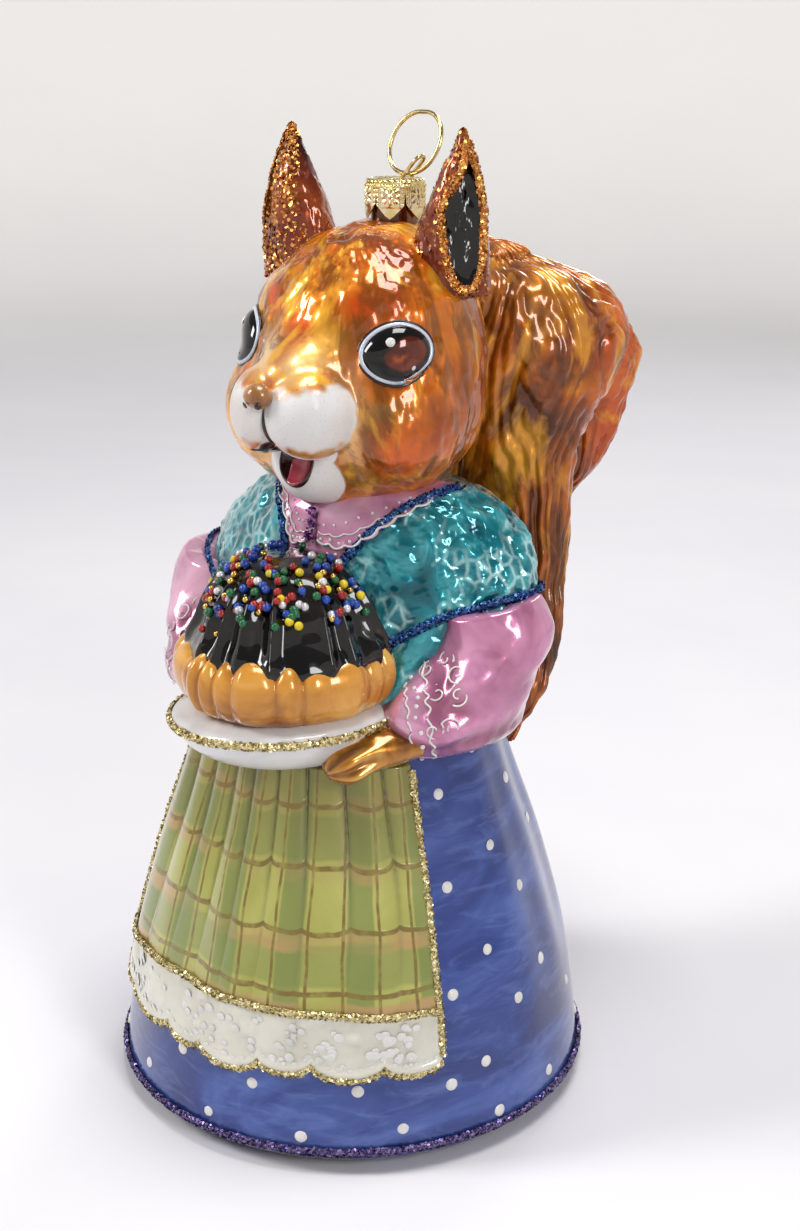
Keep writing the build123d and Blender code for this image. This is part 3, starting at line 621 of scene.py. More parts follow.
def apron_pieces():
    """Apron: the skirt's radius plus a layer and the pleats, as a raised skin between its edges."""
    degrees = np.linspace(-APRON_HALF_ANGLE, APRON_HALF_ANGLE, 380)[None]
    height = np.linspace(APRON_LOW, APRON_HIGH, 170)[:, None]
    fold = pleats(height, degrees)
    points = front_points(height, degrees, skirt_radius(height, degrees) + APRON_LAYER + fold)
    uv = np.stack(np.broadcast_arrays(degrees / 100 + 1, height / 100), -1)
    outward = np.broadcast_to(front_way(degrees), points.shape)
    apron = skin_mesh("apron", points, outward, 1.8, {"relief": ease(fold, -0.9, 0.2)}, uv)
    settle(apron, apron_look().material, ["apron"])


SCALLOPS = [
    (-57.0, 19.4), (-47.5, 18.2), (-36.6, 18.9), (-26.2, 17.0), (-15.8, 19.2), (-9.7, 17.0), (-3.7, 18.8),
    (4.5, 16.3), (12.7, 19.0), (19.2, 17.2), (25.8, 19.4), (34.7, 16.6), (42.8, 19.0), (50.0, 16.8),
    (57.0, 18.4),
]
LACE_TOP = [(-57.0, 24.4), (-36.0, 26.4), (-16.6, 27.2), (8.6, 27.0), (33.7, 26.6), (57.0, 26.0)]


def lace_low(degrees):
    """Height of the scalloped edge: round bows between the listed cusps."""
    table = np.array(SCALLOPS)
    cusps = table[0::2]
    place = np.clip(np.searchsorted(cusps[:, 0], degrees, side="right") - 1, 0, len(cusps) - 2)
    share = (degrees - cusps[place, 0]) / (cusps[place + 1, 0] - cusps[place, 0])
    line = cusps[place, 1] + (cusps[place + 1, 1] - cusps[place, 1]) * share
    dip = line - table[1::2][place, 1]
    return line - dip * np.sqrt(np.clip(1 - (2 * share - 1) ** 2, 0, 1))


def lace_pieces():
    """Lace: a raised skin from the scallops to the apron, with a rolled hem and soft blobs."""
    degrees = np.linspace(-APRON_HALF_ANGLE, APRON_HALF_ANGLE, 420)
    low = lace_low(degrees)
    high = natural(LACE_TOP, degrees)[:, 0] - 0.2
    share = np.linspace(0, 1, 60)[:, None]
    height = low + (high - low) * share
    spread = np.broadcast_to(degrees, height.shape)
    spots = front_points(height, spread, np.full_like(height, 40.0))
    blobs = ease(noise(spots, 0.3, 31), 0.1, 0.7) * 0.4 * ease(share, 0.15, 0.4)
    hem = 0.35 * bell(share, 0.06, 0.08)
    radius = skirt_radius(height, spread) + APRON_LAYER + blobs + hem + 0.35 * pleats(height + 12, spread)
    points = front_points(height, spread, radius)
    outward = np.broadcast_to(front_way(spread), points.shape)
    lace = skin_mesh("apron_lace", points, outward, 1.6, {"relief": ease(blobs, 0, 0.4)})
    look = lacquer(
        "lace_white", tone(208, 204, 188), tone(222, 219, 205), tone(232, 230, 218), 70.0,
        metallic=0.0, roughness=0.28, relief="relief", depth=0.15, bump=0.05,
    )
    settle(lace, look.material, ["apron_lace"])


def lace_dots():
    """Round dots strewn over the lace and in a row along its scallops; gives back their white."""
    random = np.random.default_rng(12)
    strewn, in_row = 120, 44
    around = random.uniform(-55, 55, strewn)
    low = lace_low(around) + 1.2
    high = natural(LACE_TOP, around)[:, 0] - 1.6
    rise = low + (high - low) * random.random(strewn)
    edge = np.linspace(-55.5, 55.5, in_row)
    around = np.concatenate([around, edge])
    rise = np.concatenate([rise, lace_low(edge) + 1.3])
    seats = front_points(rise, around, skirt_radius(rise, around) + 0.85)
    size = np.concatenate([random.uniform(0.4, 0.9, strewn), np.full(in_row, 0.5)])
    look = lacquer(
        "pearl_white", tone(218, 215, 210), tone(232, 230, 226), tone(238, 236, 233), 120.0,
        metallic=0.0, roughness=0.25,
    )
    settle(domes_mesh("lace_dots", seats, front_way(around), size, 0.1), look.material)
    return look.material


BED_SIDES = 9


def read_along(values, length, at):
    """Vectors read at given lengths along a path."""
    return np.stack([np.interp(at, length, values[:, k]) for k in range(3)], 1)


def glitter_line(name, path, outward, width, tall, looks, density, seed, node=None, closed=False):
    """Glitter line: a low bed along a path, whose half round goes across by the cosine and outward
    by the sine, with flakes scattered over its top."""
    path = np.asarray(path, float)
    outward = np.asarray(outward, float)
    if closed:
        along = np.roll(path, -1, axis=0) - np.roll(path, 1, axis=0)
    else:
        along = np.gradient(path, axis=0)
    along /= np.linalg.norm(along, axis=1, keepdims=True)
    outward = outward - (outward * along).sum(1, keepdims=True) * along
    outward /= np.linalg.norm(outward, axis=1, keepdims=True)
    side = np.cross(along, outward)
    tilt = np.linspace(0, pi, BED_SIDES)
    ragged = 1 + 0.22 * noise(path, 1.3, seed)
    points = path[:, None] + ragged[:, None, None] * (
        side[:, None] * (np.cos(tilt) * width / 2)[:, None]
        + outward[:, None] * (np.sin(tilt) * tall)[:, None]
    )
    if closed:
        points = np.concatenate([points, points[:1]])
    faces = grid_faces(*points.shape[:2], False)
    lift = np.repeat(outward, BED_SIDES, axis=0)[faces[:, 0] % (len(path) * BED_SIDES)]
    points = points.reshape(-1, 3)
    bed = make_mesh(name, points, turned_along(points, faces, lift))
    settle(bed, looks[0], [node] if node else [])
    random = np.random.default_rng(seed)
    step = np.linalg.norm(np.diff(path, axis=0), axis=1)
    length = np.concatenate([[0], np.cumsum(step)])
    count = int(length[-1] * density)
    at = random.random(count) * length[-1]
    out = read_along(outward, length, at)
    across = read_along(side, length, at)
    lean = random.uniform(0.12, pi - 0.12, count)[:, None]
    spot = read_along(path, length, at)
    spot = spot + across * np.cos(lean) * width / 2 * 1.08 + out * np.sin(lean) * tall * 1.05
    ways = out * np.sin(lean) + across * np.cos(lean)
    settle(flakes_mesh(name + "_flakes", spot, ways, FLAKE_SIZE, seed), looks[1])


def glitter_lines(looks):
    """Lines on the skirt: hem, apron sides, lace top and scallops."""
    pale = looks["pale"]
    around = np.linspace(-180, 180, 500, endpoint=False)
    hem = front_points(np.full(500, HEM_HEIGHT + 0.3), around, HEM_RADIUS + 0.05)
    way = front_way(around)
    glitter_line("hem_glitter", hem, way, 1.25, 0.45, looks["violet"], 17, 1, "hem_glitter", True)
    rise = np.linspace(18.6, 63.5, 110)
    for side, tag in SIDES[::-1]:
        edge = np.full(110, side * (APRON_HALF_ANGLE + 0.3))
        line = front_points(rise, edge, skirt_radius(rise, edge) + 0.45)
        node = "apron_side_glitter" if side > 0 else None
        name = "apron_side_glitter_" + tag
        glitter_line(name, line, front_way(edge), 1.2, 0.6, pale, 15, 5 + side, node)
    around = np.linspace(-APRON_HALF_ANGLE, APRON_HALF_ANGLE, 240)
    way = front_way(around)
    top = natural(LACE_TOP, around)[:, 0] + 0.3
    line = front_points(top, around, skirt_radius(top, around) + 0.9)
    glitter_line("lace_top_glitter", line, way, 1.15, 0.5, pale, 15, 8, "lace_top_glitter")
    low = lace_low(around) - 0.3
    line = front_points(low, around, skirt_radius(low, around) + 0.5)
    glitter_line("lace_edge_glitter", line, way, 1.2, 0.6, pale, 16, 9, "lace_edge_glitter")


SKIRT_DOTS = [
    (85, 64.4), (67, 58.7), (104.2, 56.1), (114.4, 46.7), (82.3, 48.9), (64.4, 44.5), (91.3, 40.3),
    (74.4, 33), (94.2, 26.8), (110.7, 17.2), (61.8, 27.8), (81.6, 23.5), (69.5, 15.2), (91.6, 7.1),
    (59.5, 13.2), (72.4, 5.8), (47.1, 7.3), (36.7, 14.2), (23.5, 6.1), (11.1, 13.8), (-0.6, 6.4),
    (-10.7, 14.9), (-24.3, 7.9), (-36.5, 15.6), (-47, 7.6), (-60, 14.4), (-66, 26.4), (-73, 7.2),
    (-70, 40.5), (-84, 17.0), (-80, 31.5), (-66.5, 54.6), (-83, 46.5), (-95, 8.4), (-97, 25.8),
    (-95, 38.4), (-82, 60.6), (-98, 54.0), (-110, 15.9), (-112, 32.4), (-112, 46.5), (-118, 60.3),
]


GOLDEN_ANGLE = 137.508


def skirt_dots(material):
    """White dots: the ones seen in front, and a spread by the golden angle round the back."""
    step = np.arange(34)
    back = 122 + (step * GOLDEN_ANGLE) % 118
    rise = 7 + 54 * ((step * 0.618) % 1)
    table = np.vstack([SKIRT_DOTS, np.stack([back, rise], -1)])
    around, rise = table[:, 0], table[:, 1]
    seat = skirt_radius(rise, around) - 0.03
    size = np.random.default_rng(3).uniform(0.92, 1.12, len(around))
    tilt = front_way(around) + [0, 0, 0.25]
    dots = domes_mesh("skirt_dots", front_points(rise, around, seat), tilt, size, 0.32, 3, 14)
    settle(dots, material)


# Vest, blouse, sleeves and paws

def oval_grid(rows, around=240, along=160, dome=(0, 0), first=0.0):
    """Points of ovals read from a spline through rows of height, half width, half depth, middle x,
    middle y and turn, with rounded ends of the given heights; and the angle and height of each."""
    table = np.asarray(rows, float)
    height = np.linspace(table[0, 0], table[-1, 0], along)
    values = natural(table, height)
    parts = [(height, values, np.ones(along))]
    curve = np.linspace(pi / 2, 0, 14)[:-1][::-1]
    for end, size in ((0, -dome[0]), (-1, dome[1])):
        if not size:
            continue
        rise = table[end, 0] + size * np.sin(curve if end else curve[::-1])
        held = np.repeat(values[end][None], len(curve), 0)
        piece = (rise, held, np.cos(curve if end else curve[::-1]))
        parts = parts + [piece] if end else [piece] + parts
    height = np.concatenate([part[0] for part in parts])
    values = np.concatenate([part[1] for part in parts])
    size = np.maximum(np.concatenate([part[2] for part in parts]), 0.02)[:, None]
    angle = (np.linspace(0, 2 * pi, around, endpoint=False) + first)[None]
    x = values[:, :1] * size * np.cos(angle)
    y = values[:, 1:2] * size * np.sin(angle)
    turn = np.radians(values[:, 4:5])
    points = np.stack(
        [
            x * np.cos(turn) - y * np.sin(turn) + values[:, 2:3],
            x * np.sin(turn) + y * np.cos(turn) + values[:, 3:4],
            np.broadcast_to(height[:, None], x.shape),
        ],
        -1,
    )
    outward = normals_of(points, True)
    centre = np.stack([values[:, 2], values[:, 3], height], -1)[:, None]
    if ((points - centre) * outward)[len(points) // 3].sum() < 0:
        outward = -outward
    return points, outward, np.broadcast_to(angle, x.shape), np.broadcast_to(height[:, None], x.shape)


def share_rows(shares, low, height, half_width, half_depth, side=0.0, back=0.0):
    """Rows in millimetres from rows of shares."""
    return [
        (low + height * h, half_width * w, half_depth * d, side * s, back * b, t)
        for h, w, d, s, b, t in shares
    ]


NECK_TOP = 107.0
VEST_MIDDLE = np.array([0, 3.0, 88.0])
VEST_ROWS = [
    (68.0, 24.2, 24.2, 24.2, 0.0, 0.0), (71.6, 26.3, 26.3, 20.7, 0.55, 0.0),
    (76.8, 27.9, 27.9, 18.1, 0.9, 0.0), (81.9, 29.8, 29.2, 17.0, 1.5, 1.0),
    (88.0, 31.5, 30.6, 15.6, 1.85, 3.0), (92.0, 31.8, 30.6, 14.8, 2.0, 4.0),
    (96.8, 29.8, 28.4, 14.0, 2.2, 5.0), (100.5, 27.0, 24.2, 13.2, 2.3, 5.0),
    (103.0, 24.0, 20.8, 12.5, 2.5, 4.5), (105.0, 20.8, 17.4, 11.2, 2.6, 3.0),
    (106.3, 18.2, 14.8, 9.6, 2.7, 1.5), (107.0, 12.5, 11.0, 8.0, 2.8, 1.0),
]
NECK_LEFT = [
    (90.6, 3.0), (93.0, 5.2), (97.0, 8.3), (100.3, 10.9), (102.6, 13.2), (104.8, 15.8), (106.1, 18.3),
    (106.7, 20.0),
]
NECK_RIGHT = [
    (90.6, -1.2), (93.0, -2.8), (96.5, -4.4), (99.1, -5.1), (102.4, -6.9), (104.6, -9.0), (106.1, -12.0),
    (106.7, -15.0),
]
ARM_EDGE = [
    (0, 81.5), (48, 81.8), (56, 84.2), (64, 87.2), (74, 89.4), (84, 90.5), (97, 90.2), (112, 88.5),
    (130, 86.0), (180, 84.0),
]


def bodice_spot(x, height, grow):
    """Front point of the vest at a sideways place and height, moved out by grow, and its way out."""
    x, height = np.broadcast_arrays(np.asarray(x, float), np.asarray(height, float))
    row = natural(VEST_ROWS, height)
    wide = np.where(x > 0, row[..., 0], row[..., 1]) + grow
    deep, back, sweep = row[..., 2] + grow, row[..., 3], row[..., 4]
    part = np.clip(x / wide, -0.995, 0.995)
    fall = np.sqrt(1 - part ** 2)
    spot = np.stack([x, back + sweep * part ** 2 - deep * fall, height], -1)
    out = np.stack([part / wide * deep / fall, 0 * x - 1, 0 * x + 0.12], -1)
    return spot, out / np.linalg.norm(out, axis=-1, keepdims=True)


def neck_side(table, rise):
    """Sideways place of the vest's neck edge at given heights."""
    return np.interp(rise, *np.array(table).T)


def vest_ring(degrees, height, grow):
    """Points round the vest at ways counted from the front: x is the half width times the sine, y
    the half depth times minus the cosine, swept back by the square of x over the half width."""
    row = natural(VEST_ROWS, np.broadcast_to(height, np.broadcast(degrees, height).shape))
    way = np.radians(degrees)
    x = (np.where(np.sin(way) > 0, row[..., 0], row[..., 1]) + grow) * np.sin(way)
    y = row[..., 3] + row[..., 4] * np.sin(way) ** 2 - (row[..., 2] + grow) * np.cos(way)
    return np.stack([x, y, height + 0 * x], -1)


def vest_way(points):
    """Level way round the vest, in degrees from the front, of points near it."""
    return np.degrees(np.arctan2(np.abs(points[..., 0]), VEST_MIDDLE[1] - points[..., 1]))


def arm_edge_height(points):
    """Height of the vest's arm edge at the way round of the given points."""
    return np.interp(vest_way(points), *np.array(ARM_EDGE, float).T)


def vest_look():
    """Teal lacquer with patches of pale lines along the edges of small cells."""
    look = lacquer(
        "vest_teal", tone(4, 92, 106), tone(22, 148, 160), tone(92, 200, 206), 130.0, (1, 1, 0.8),
        metallic=0.4, roughness=0.2, relief="relief", depth=0.7, warp=1.2,
    )
    net = look.cells(440.0, (1, 1, 0.8), "DISTANCE_TO_EDGE")
    edge = look.ramp(net["Distance"], (0.03, 0.75), (0.17, 0.0))
    patch = look.ramp(look.noise(95.0, (1, 1, 1), 3.0, 1.0), (0.45, 0.0), (0.6, 0.9))
    look.feed(Base_Color=look.mix(look.times(edge, patch), look.colour, tone(196, 238, 238)))
    return look


def vest_piece():
    """Vest: rings round it moved outwards by a hammered relief of short upright cells in ribs."""
    degrees = np.linspace(-180, 180, 430, endpoint=False)[None]
    height = np.linspace(WAIST_HEIGHT, NECK_TOP, 215)[:, None]
    points = vest_ring(degrees, height, 0.0)
    outward = normals_of(points, True)
    outward *= np.sign((outward * (points - VEST_MIDDLE)).sum(-1, keepdims=True).mean())
    angle = np.radians(degrees)
    rib = np.sin(angle * 27 + 0.6 * np.sin(height / 4.0) + 0.8 * noise(points, 0.12, 40))
    cell = np.sin(height * 1.75 + 1.6 * np.sin(angle * 13) + 2.6 * noise(points, 0.2, 41))
    lumps = layered(points * [1, 1, 0.8], 0.42, 44, 3)
    relief = 0.42 * rib * (0.3 + 0.7 * ease(cell, -0.5, 0.7)) + 0.62 * lumps
    relief = relief * ease(height, 72, 80) * (1 - ease(height, 104, 106.5))
    points = points + outward * relief[..., None] * 0.55
    vest = closed_mesh("bodice", points, {"relief": 0.5 + relief / 2})
    settle(vest, vest_look().material, ["bodice"])


def blouse_front(material):
    """Blouse: a raised skin on the vest between its two neck edges."""
    rise = np.linspace(90.8, 106.9, 60)[:, None]
    across = np.linspace(0, 1, 120)[None]
    low, high = neck_side(NECK_RIGHT, rise), neck_side(NECK_LEFT, rise)
    spot, out = bodice_spot(low + (high - low) * across, rise, 0.6)
    settle(skin_mesh("blouse_front", spot, out, 1.2), material, ["blouse_front"])


COLLAR_HALVES = [
    (
        "left", "collar", 7, [2.2, 5.9, 9.6, 12.8, 15.6, 18.0], [98.6, 97.6, 98.7, 101.4, 103.7, 105.5],
        [1.4, 4.0, 7.0, 10.0, 12.5, 15.0], [103.0, 104.3, 105.4, 106.0, 106.5, 106.8],
    ),
    (
        "right", "collar_right", 5, [0.6, -1.4, -3.0, -4.2, -6.0, -9.4],
        [98.8, 97.4, 97.9, 100.4, 103.0, 105.4], [0.4, -0.6, -1.6, -2.8, -4.6, -8.0],
        [103.0, 104.0, 105.0, 105.8, 106.4, 106.8],
    ),
]


def collar_pieces(material, pearl):
    """Collar: on each side a skin from a scalloped outer line up to an inner line, with two thin
    white lines, a row of dots and a row of specks along it."""
    share = np.linspace(0, 1, 90)[:, None]
    inner = np.linspace(0, 1, 22)[None]
    knots = np.linspace(0, 1, 6)
    for tag, name, scallops, edge_x, edge_z, top_x, top_z in COLLAR_HALVES:
        outer = natural(np.column_stack([knots, edge_x, edge_z]), share[:, 0])
        top = natural(np.column_stack([knots, top_x, top_z]), share[:, 0])
        slope = np.gradient(outer, axis=0)
        down = np.stack([slope[:, 1], -slope[:, 0]], 1)
        down /= np.linalg.norm(down, axis=1, keepdims=True)
        down *= np.sign((down * (outer - top)).sum())
        outer = outer + down * np.abs(np.sin(share * pi * scallops)) * 0.55
        grid = outer[:, None] + (top - outer)[:, None] * inner[..., None]
        spot, out = bodice_spot(grid[..., 0], grid[..., 1], 0.95 + 0.25 * bell(inner, 0.05, 0.08))
        settle(skin_mesh(name, spot, out, 0.9), material, ["collar"] if tag == "left" else [])
        for level, radius in ((1, 0.19), (6, 0.13)):
            line = spot[2:-2, level] + out[2:-2, level] * 0.12
            settle(tube_mesh(f"collar_line_{tag}_{level}", line, radius, 7), pearl)
        for kind, row, level, lift, radius, tall in (
            ("dots", slice(5, -4, 8), 3, 0.06, 0.3, 0.2),
            ("specks", slice(8, -4, 10), 11, 0.05, 0.26, 0.18),
        ):
            seat, way = spot[row, level], out[row, level]
            domes = domes_mesh(f"collar_{kind}_{tag}", seat + way * lift, way, radius, tall)
            settle(domes, pearl)


def blouse_trim(looks):
    """White dots strewn over the blouse and three heaps of glitter flakes for its buttons."""
    random = np.random.default_rng(8)
    count = 40
    rise = random.uniform(92.5, 101, count)
    low = neck_side(NECK_RIGHT, rise) + 1
    high = neck_side(NECK_LEFT, rise) - 1
    spot, out = bodice_spot(low + (high - low) * random.random(count), rise, 0.63)
    dots = domes_mesh("blouse_dots", spot, out, random.uniform(0.26, 0.45, count), 0.2)
    settle(dots, looks["pearl"])
    for height, tag in ((102.55, "a"), (100.75, "b"), (98.95, "c")):
        spot, out = bodice_spot(0.9, height, 1.5)
        spots = spot + random.normal(0, 0.4, (70, 3)) * [1, 0.4, 1]
        ways = np.broadcast_to(out, spots.shape)
        flakes = flakes_mesh("button_" + tag, spots, ways, FLAKE_SIZE, 70 + int(height), 0.9)
        settle(flakes, looks["plum"][1], ["blouse_buttons"] if tag == "a" else ())


def bodice_pieces(looks):
    """Vest, blouse, collar and what is dotted on them."""
    vest_piece()
    blouse = lacquer(
        "blouse_pink", tone(178, 116, 148), tone(208, 148, 178), tone(230, 188, 208), 110.0,
        metallic=0.25, roughness=0.3,
    )
    blouse_front(blouse.material)
    collar_pieces(blouse.material, looks["pearl"])
    blouse_trim(looks)


def vest_lines(looks):
    """Dark blue glitter along the vest's neck and arm edges, front and back."""
    blue = looks["blue"]
    way = np.radians(np.linspace(44, 150, 150))
    guide = np.stack([np.sin(way) * 33, VEST_MIDDLE[1] - np.cos(way) * 33, 0 * way], -1)
    level = np.pad(arm_edge_height(guide), 6, mode="edge")
    level = np.convolve(level, np.ones(13) / 13, "valid")
    ring = vest_ring(np.degrees(np.arctan2(np.sin(way) / 32, np.cos(way) / 15)), level, 0.55)
    away = (ring - VEST_MIDDLE) * [1 / 32.0, 1 / 14.0, 0] / 14
    for (side, tag), table in zip(SIDES, (NECK_LEFT, NECK_RIGHT)):
        rise = np.linspace(91.0, 106.8, 90)
        spot, out = bodice_spot(natural(table, rise)[:, 0], rise, 0.65)
        node = "vest_neck_glitter" if side > 0 else None
        glitter_line("vest_neck_" + tag, spot, out, 1.35, 0.6, blue, 17, 30 + side, node)
        node = "vest_arm_glitter" if side > 0 else None
        line, out = ring * [side, 1, 1], away * [side, 1, 1]
        glitter_line("vest_arm_" + tag, line, out, 1.35, 0.65, blue, 17, 40 + side, node)


SLEEVE_ROWS = share_rows(
    [
        (0.00, 0.41, 0.53, 0.86, -0.47, -28), (0.05, 0.69, 0.80, 0.86, -0.47, -28),
        (0.16, 0.90, 1.00, 0.86, -0.47, -28), (0.30, 0.98, 0.98, 0.89, -0.38, -26),
        (0.44, 1.00, 0.85, 0.95, -0.17, -15), (0.58, 0.99, 0.75, 1.00, 0.02, 0),
        (0.75, 0.92, 0.68, 1.00, 0.08, 0), (0.89, 0.76, 0.58, 0.96, 0.08, 0),
        (1.00, 0.46, 0.38, 0.91, 0.08, 0),
    ],
    65.6, 28.4, 9.8, 13.2, side=27.4, back=13.2,
)


def sleeve_pieces(looks):
    """Sleeves: level ovals swelling in soft diagonal folds, gathered towards the cuff, and drawn in
    above the vest's arm edge so that the vest covers them there."""
    look = lacquer(
        "sleeve_pink", tone(150, 78, 106), tone(222, 152, 190), tone(244, 196, 218), 48.0,
        metallic=0.34, roughness=0.2, relief="relief", depth=0.7, warp=0.9,
    )
    points, outward, _, height = oval_grid(SLEEVE_ROWS, 220, 120, (0.6, 0.8))
    lean = points @ np.array([0.5, -0.45, 0.75])
    cuff = ease(-points[..., 1], 6, 15) * (1 - ease(height, 80, 88))
    folds = 0.55 * np.sin(lean * 0.95 + 2.2 * noise(points, 0.09, 61)) * (0.25 + cuff)
    folds = folds + 0.45 * layered(points, 0.14, 64, 3)
    points = points + outward * folds[..., None]
    over = ease(height - arm_edge_height(points), -0.4, 2.2)
    points = points - outward * (4.5 * over)[..., None]
    shades = {"relief": np.clip(0.62 + folds * 0.8, 0, 1)}
    for side, tag in SIDES:
        sleeve = closed_mesh("sleeve_" + tag, points * [side, 1, 1], shades)
        settle(sleeve, look.material, ["sleeve_" + tag])
    cuff_curls(points, outward, looks["pearl"])
    cuff_lines(points, outward, looks["pearl"])


CUFF_CURLS = np.array([
    (22.8, -11.1, 80.0), (28.1, -11.2, 80.7), (29.8, -13.0, 77.4), (27.2, -16.1, 72.1),
    (25.0, -9.7, 82.0), (29.6, -14.6, 73.0), (26.4, -14.2, 78.2),
])


def cuff_curls(points, outward, pearl):
    """White curls by the cuff: spirals whose reach grows with the turn, laid on the sleeve's skin
    and falling with the square of the reach as the sleeve bends away."""
    away = ((points[:, :, None] - CUFF_CURLS) ** 2).sum(-1).reshape(-1, len(CUFF_CURLS))
    close = away.argmin(0)
    seats, outs = points.reshape(-1, 3)[close], outward.reshape(-1, 3)[close]
    spiral = np.linspace(0.3, 2.3 * pi, 40)[:, None]
    reach = 0.35 + 0.19 * spiral
    for number, (seat, out) in enumerate(zip(seats, outs)):
        first = np.cross(out, [0, 0, 1.0])
        first /= np.linalg.norm(first)
        second = np.cross(out, first)
        swing = spiral * (1 if number % 2 else -1) + number
        path = seat + reach * (first * np.cos(swing) + second * np.sin(swing))
        path = path + out * (0.16 - reach ** 2 / 18)
        for side, tag in SIDES:
            settle(tube_mesh(f"cuff_curl_{tag}_{number}", path * [side, 1, 1], 0.15, 7), pearl)


def cuff_lines(points, outward, pearl):
    """Two scalloped white lines round the cuff, and dots beside the first of them."""
    tip = np.array([18.6, -15.6, 73.4])
    axis = np.array([-0.80, -0.56, -0.12])
    axis /= np.linalg.norm(axis)
    for level, wave, radius, kind in ((-7.0, 1.3, 0.2, "a"), (-3.4, 0.7, 0.17, "b")):
        line, outs = ring_on(points, outward, tip, axis, level, wave)
        for side, tag in SIDES:
            path = (line + outs * 0.1) * [side, 1, 1]
            settle(tube_mesh(f"cuff_line_{kind}_{tag}", path, radius, 7), pearl)
        if kind == "b":
            continue
        dots = line[::6] + outs[::6] * 0.05 + axis * 1.8
        for side, tag in SIDES:
            flip = [side, 1, 1]
            settle(domes_mesh("cuff_dots_" + tag, dots * flip, outs[::6] * flip, 0.42, 0.28), pearl)


def ring_on(points, outward, tip, axis, level, wave):
    """A line on a surface where the depth along an axis has one level, swung by a scallop wave.
    For each of many ways round the axis it takes the surface point nearest to that level."""
    helper = np.cross(axis, [0, 0, 1.0])
    helper /= np.linalg.norm(helper)
    other = np.cross(axis, helper)
    way = points.reshape(-1, 3) - tip
    depth = way @ axis
    around = np.arctan2(way @ other, way @ helper)
    target = np.linspace(-pi, pi, 90)
    goal = level + wave * np.abs(np.sin(target * 5.5))
    gap = np.abs(np.angle(np.exp(1j * (around[None] - target[:, None])))) * 9
    miss = gap + np.abs(depth[None] - goal[:, None]) * 2
    best = miss.argmin(1)[miss.min(1) < 2.0]
    line = np.pad(points.reshape(-1, 3)[best], ((2, 2), (0, 0)), mode="edge")
    kernel = np.array([1, 2, 3, 2, 1]) / 9.0
    line = np.stack([np.convolve(line[:, k], kernel, "valid") for k in range(3)], 1)
    return line, outward.reshape(-1, 3)[best]


def paw_pieces():
    """Paws: a tapering tube from the cuff to under the plate's edge, whose width waves round it
    towards the tip to part it into fingers."""
    look = lacquer(
        "paw_brown", tone(110, 58, 10), tone(196, 130, 36), tone(240, 190, 96), 130.0,
        metallic=0.45, roughness=0.22, relief="relief", depth=0.6,
    )
    start = np.array([21.5, -13.2, 68.6])
    end = np.array([14.2, -26.6, 65.4])
    share = np.linspace(0, 1, 40)[:, None]
    path = start + (end - start) * share + np.array([0, 0, 1.0]) * np.sin(share * pi)
    width = natural([(0, 4.2), (0.35, 4.6), (0.7, 4.3), (0.92, 3.1), (1, 1.2)], share[:, 0])
    sideways, up = frames_along(path, False)
    angle = np.linspace(0, 2 * pi, 72, endpoint=False)
    ridge = 1 + 0.13 * np.cos(angle * 7 + 0.8)[None] * ease(share, 0.35, 0.8)
    wide = width * np.cos(angle) * ridge
    tall = width * 0.72 * np.sin(angle) * ridge
    points = path[:, None] + sideways[:, None] * wide[..., None] + up[:, None] * tall[..., None]
    shades = {"relief": ease(ridge, 0.9, 1.1)}
    for (side, tag), inward in zip(SIDES, ((0, 0, 0), (-2.0, 1.2, 0))):
        paw = closed_mesh("paw_" + tag, (points + inward) * [side, 1, 1], shades)
        settle(paw, look.material, ["paw_" + tag])


# Plate and cake

CAKE_BACK = -18.2
PLATE_RIM_RADIUS, PLATE_RIM_HEIGHT = 18.9, 70.9


def cake_points(edge, count, degrees, wave):
    """Points round the cake's axis: a spline through the edge's radii and heights, then moved by the
    wave, which is given the radius, the height and the share of the way along the edge."""
    share = np.linspace(0, 1, count)[:, None]
    table = np.array(edge, float)
    run = np.concatenate([[0], np.cumsum(np.linalg.norm(np.diff(table, axis=0), axis=1))])
    line = natural(np.column_stack([run / run[-1], table]), share[:, 0])
    radius, height = wave(line[:, :1], line[:, 1:], share)
    way = np.radians(degrees)
    return np.stack(
        np.broadcast_arrays(radius * np.sin(way), CAKE_BACK - radius * np.cos(way), height + 0 * way), -1
    )


def uneven(degrees, values):
    """Random values at even steps round the cake, the last of them set to nought, joined straight."""
    return np.interp(degrees, np.linspace(-180, 180, len(values) + 1), np.r_[values, 0])


def plate_dip(radius, degrees):
    """The plate's edge sinks towards the right paw and rises towards the left one."""
    way = np.radians(degrees)
    return (0.1 * np.cos(way) + 1.2 * np.sin(way)) * ease(radius, 10.0, 18.5)


PLATE_EDGE = [
    (9.0, 64.6), (12.5, 64.9), (15.0, 65.9), (17.2, 67.9), (18.5, 69.8), (18.95, 70.9), (18.6, 71.6),
    (17.4, 72.3), (15.8, 73.0), (14.0, 73.3),
]
CRUST_EDGE = [
    (14.6, 73.0), (16.5, 74.2), (17.8, 76.4), (18.3, 79.0), (17.8, 81.0), (16.4, 82.4), (14.2, 82.9),
]
GLAZE_EDGE = [
    (15.0, 81.0), (16.4, 81.2), (16.6, 82.6), (15.2, 85.4), (13.8, 88.4), (12.4, 91.2), (10.3, 94.0),
    (7.2, 96.2), (3.0, 97.2),
]
CAKE_WAYS = np.linspace(-180, 180, 480, endpoint=False)[None]


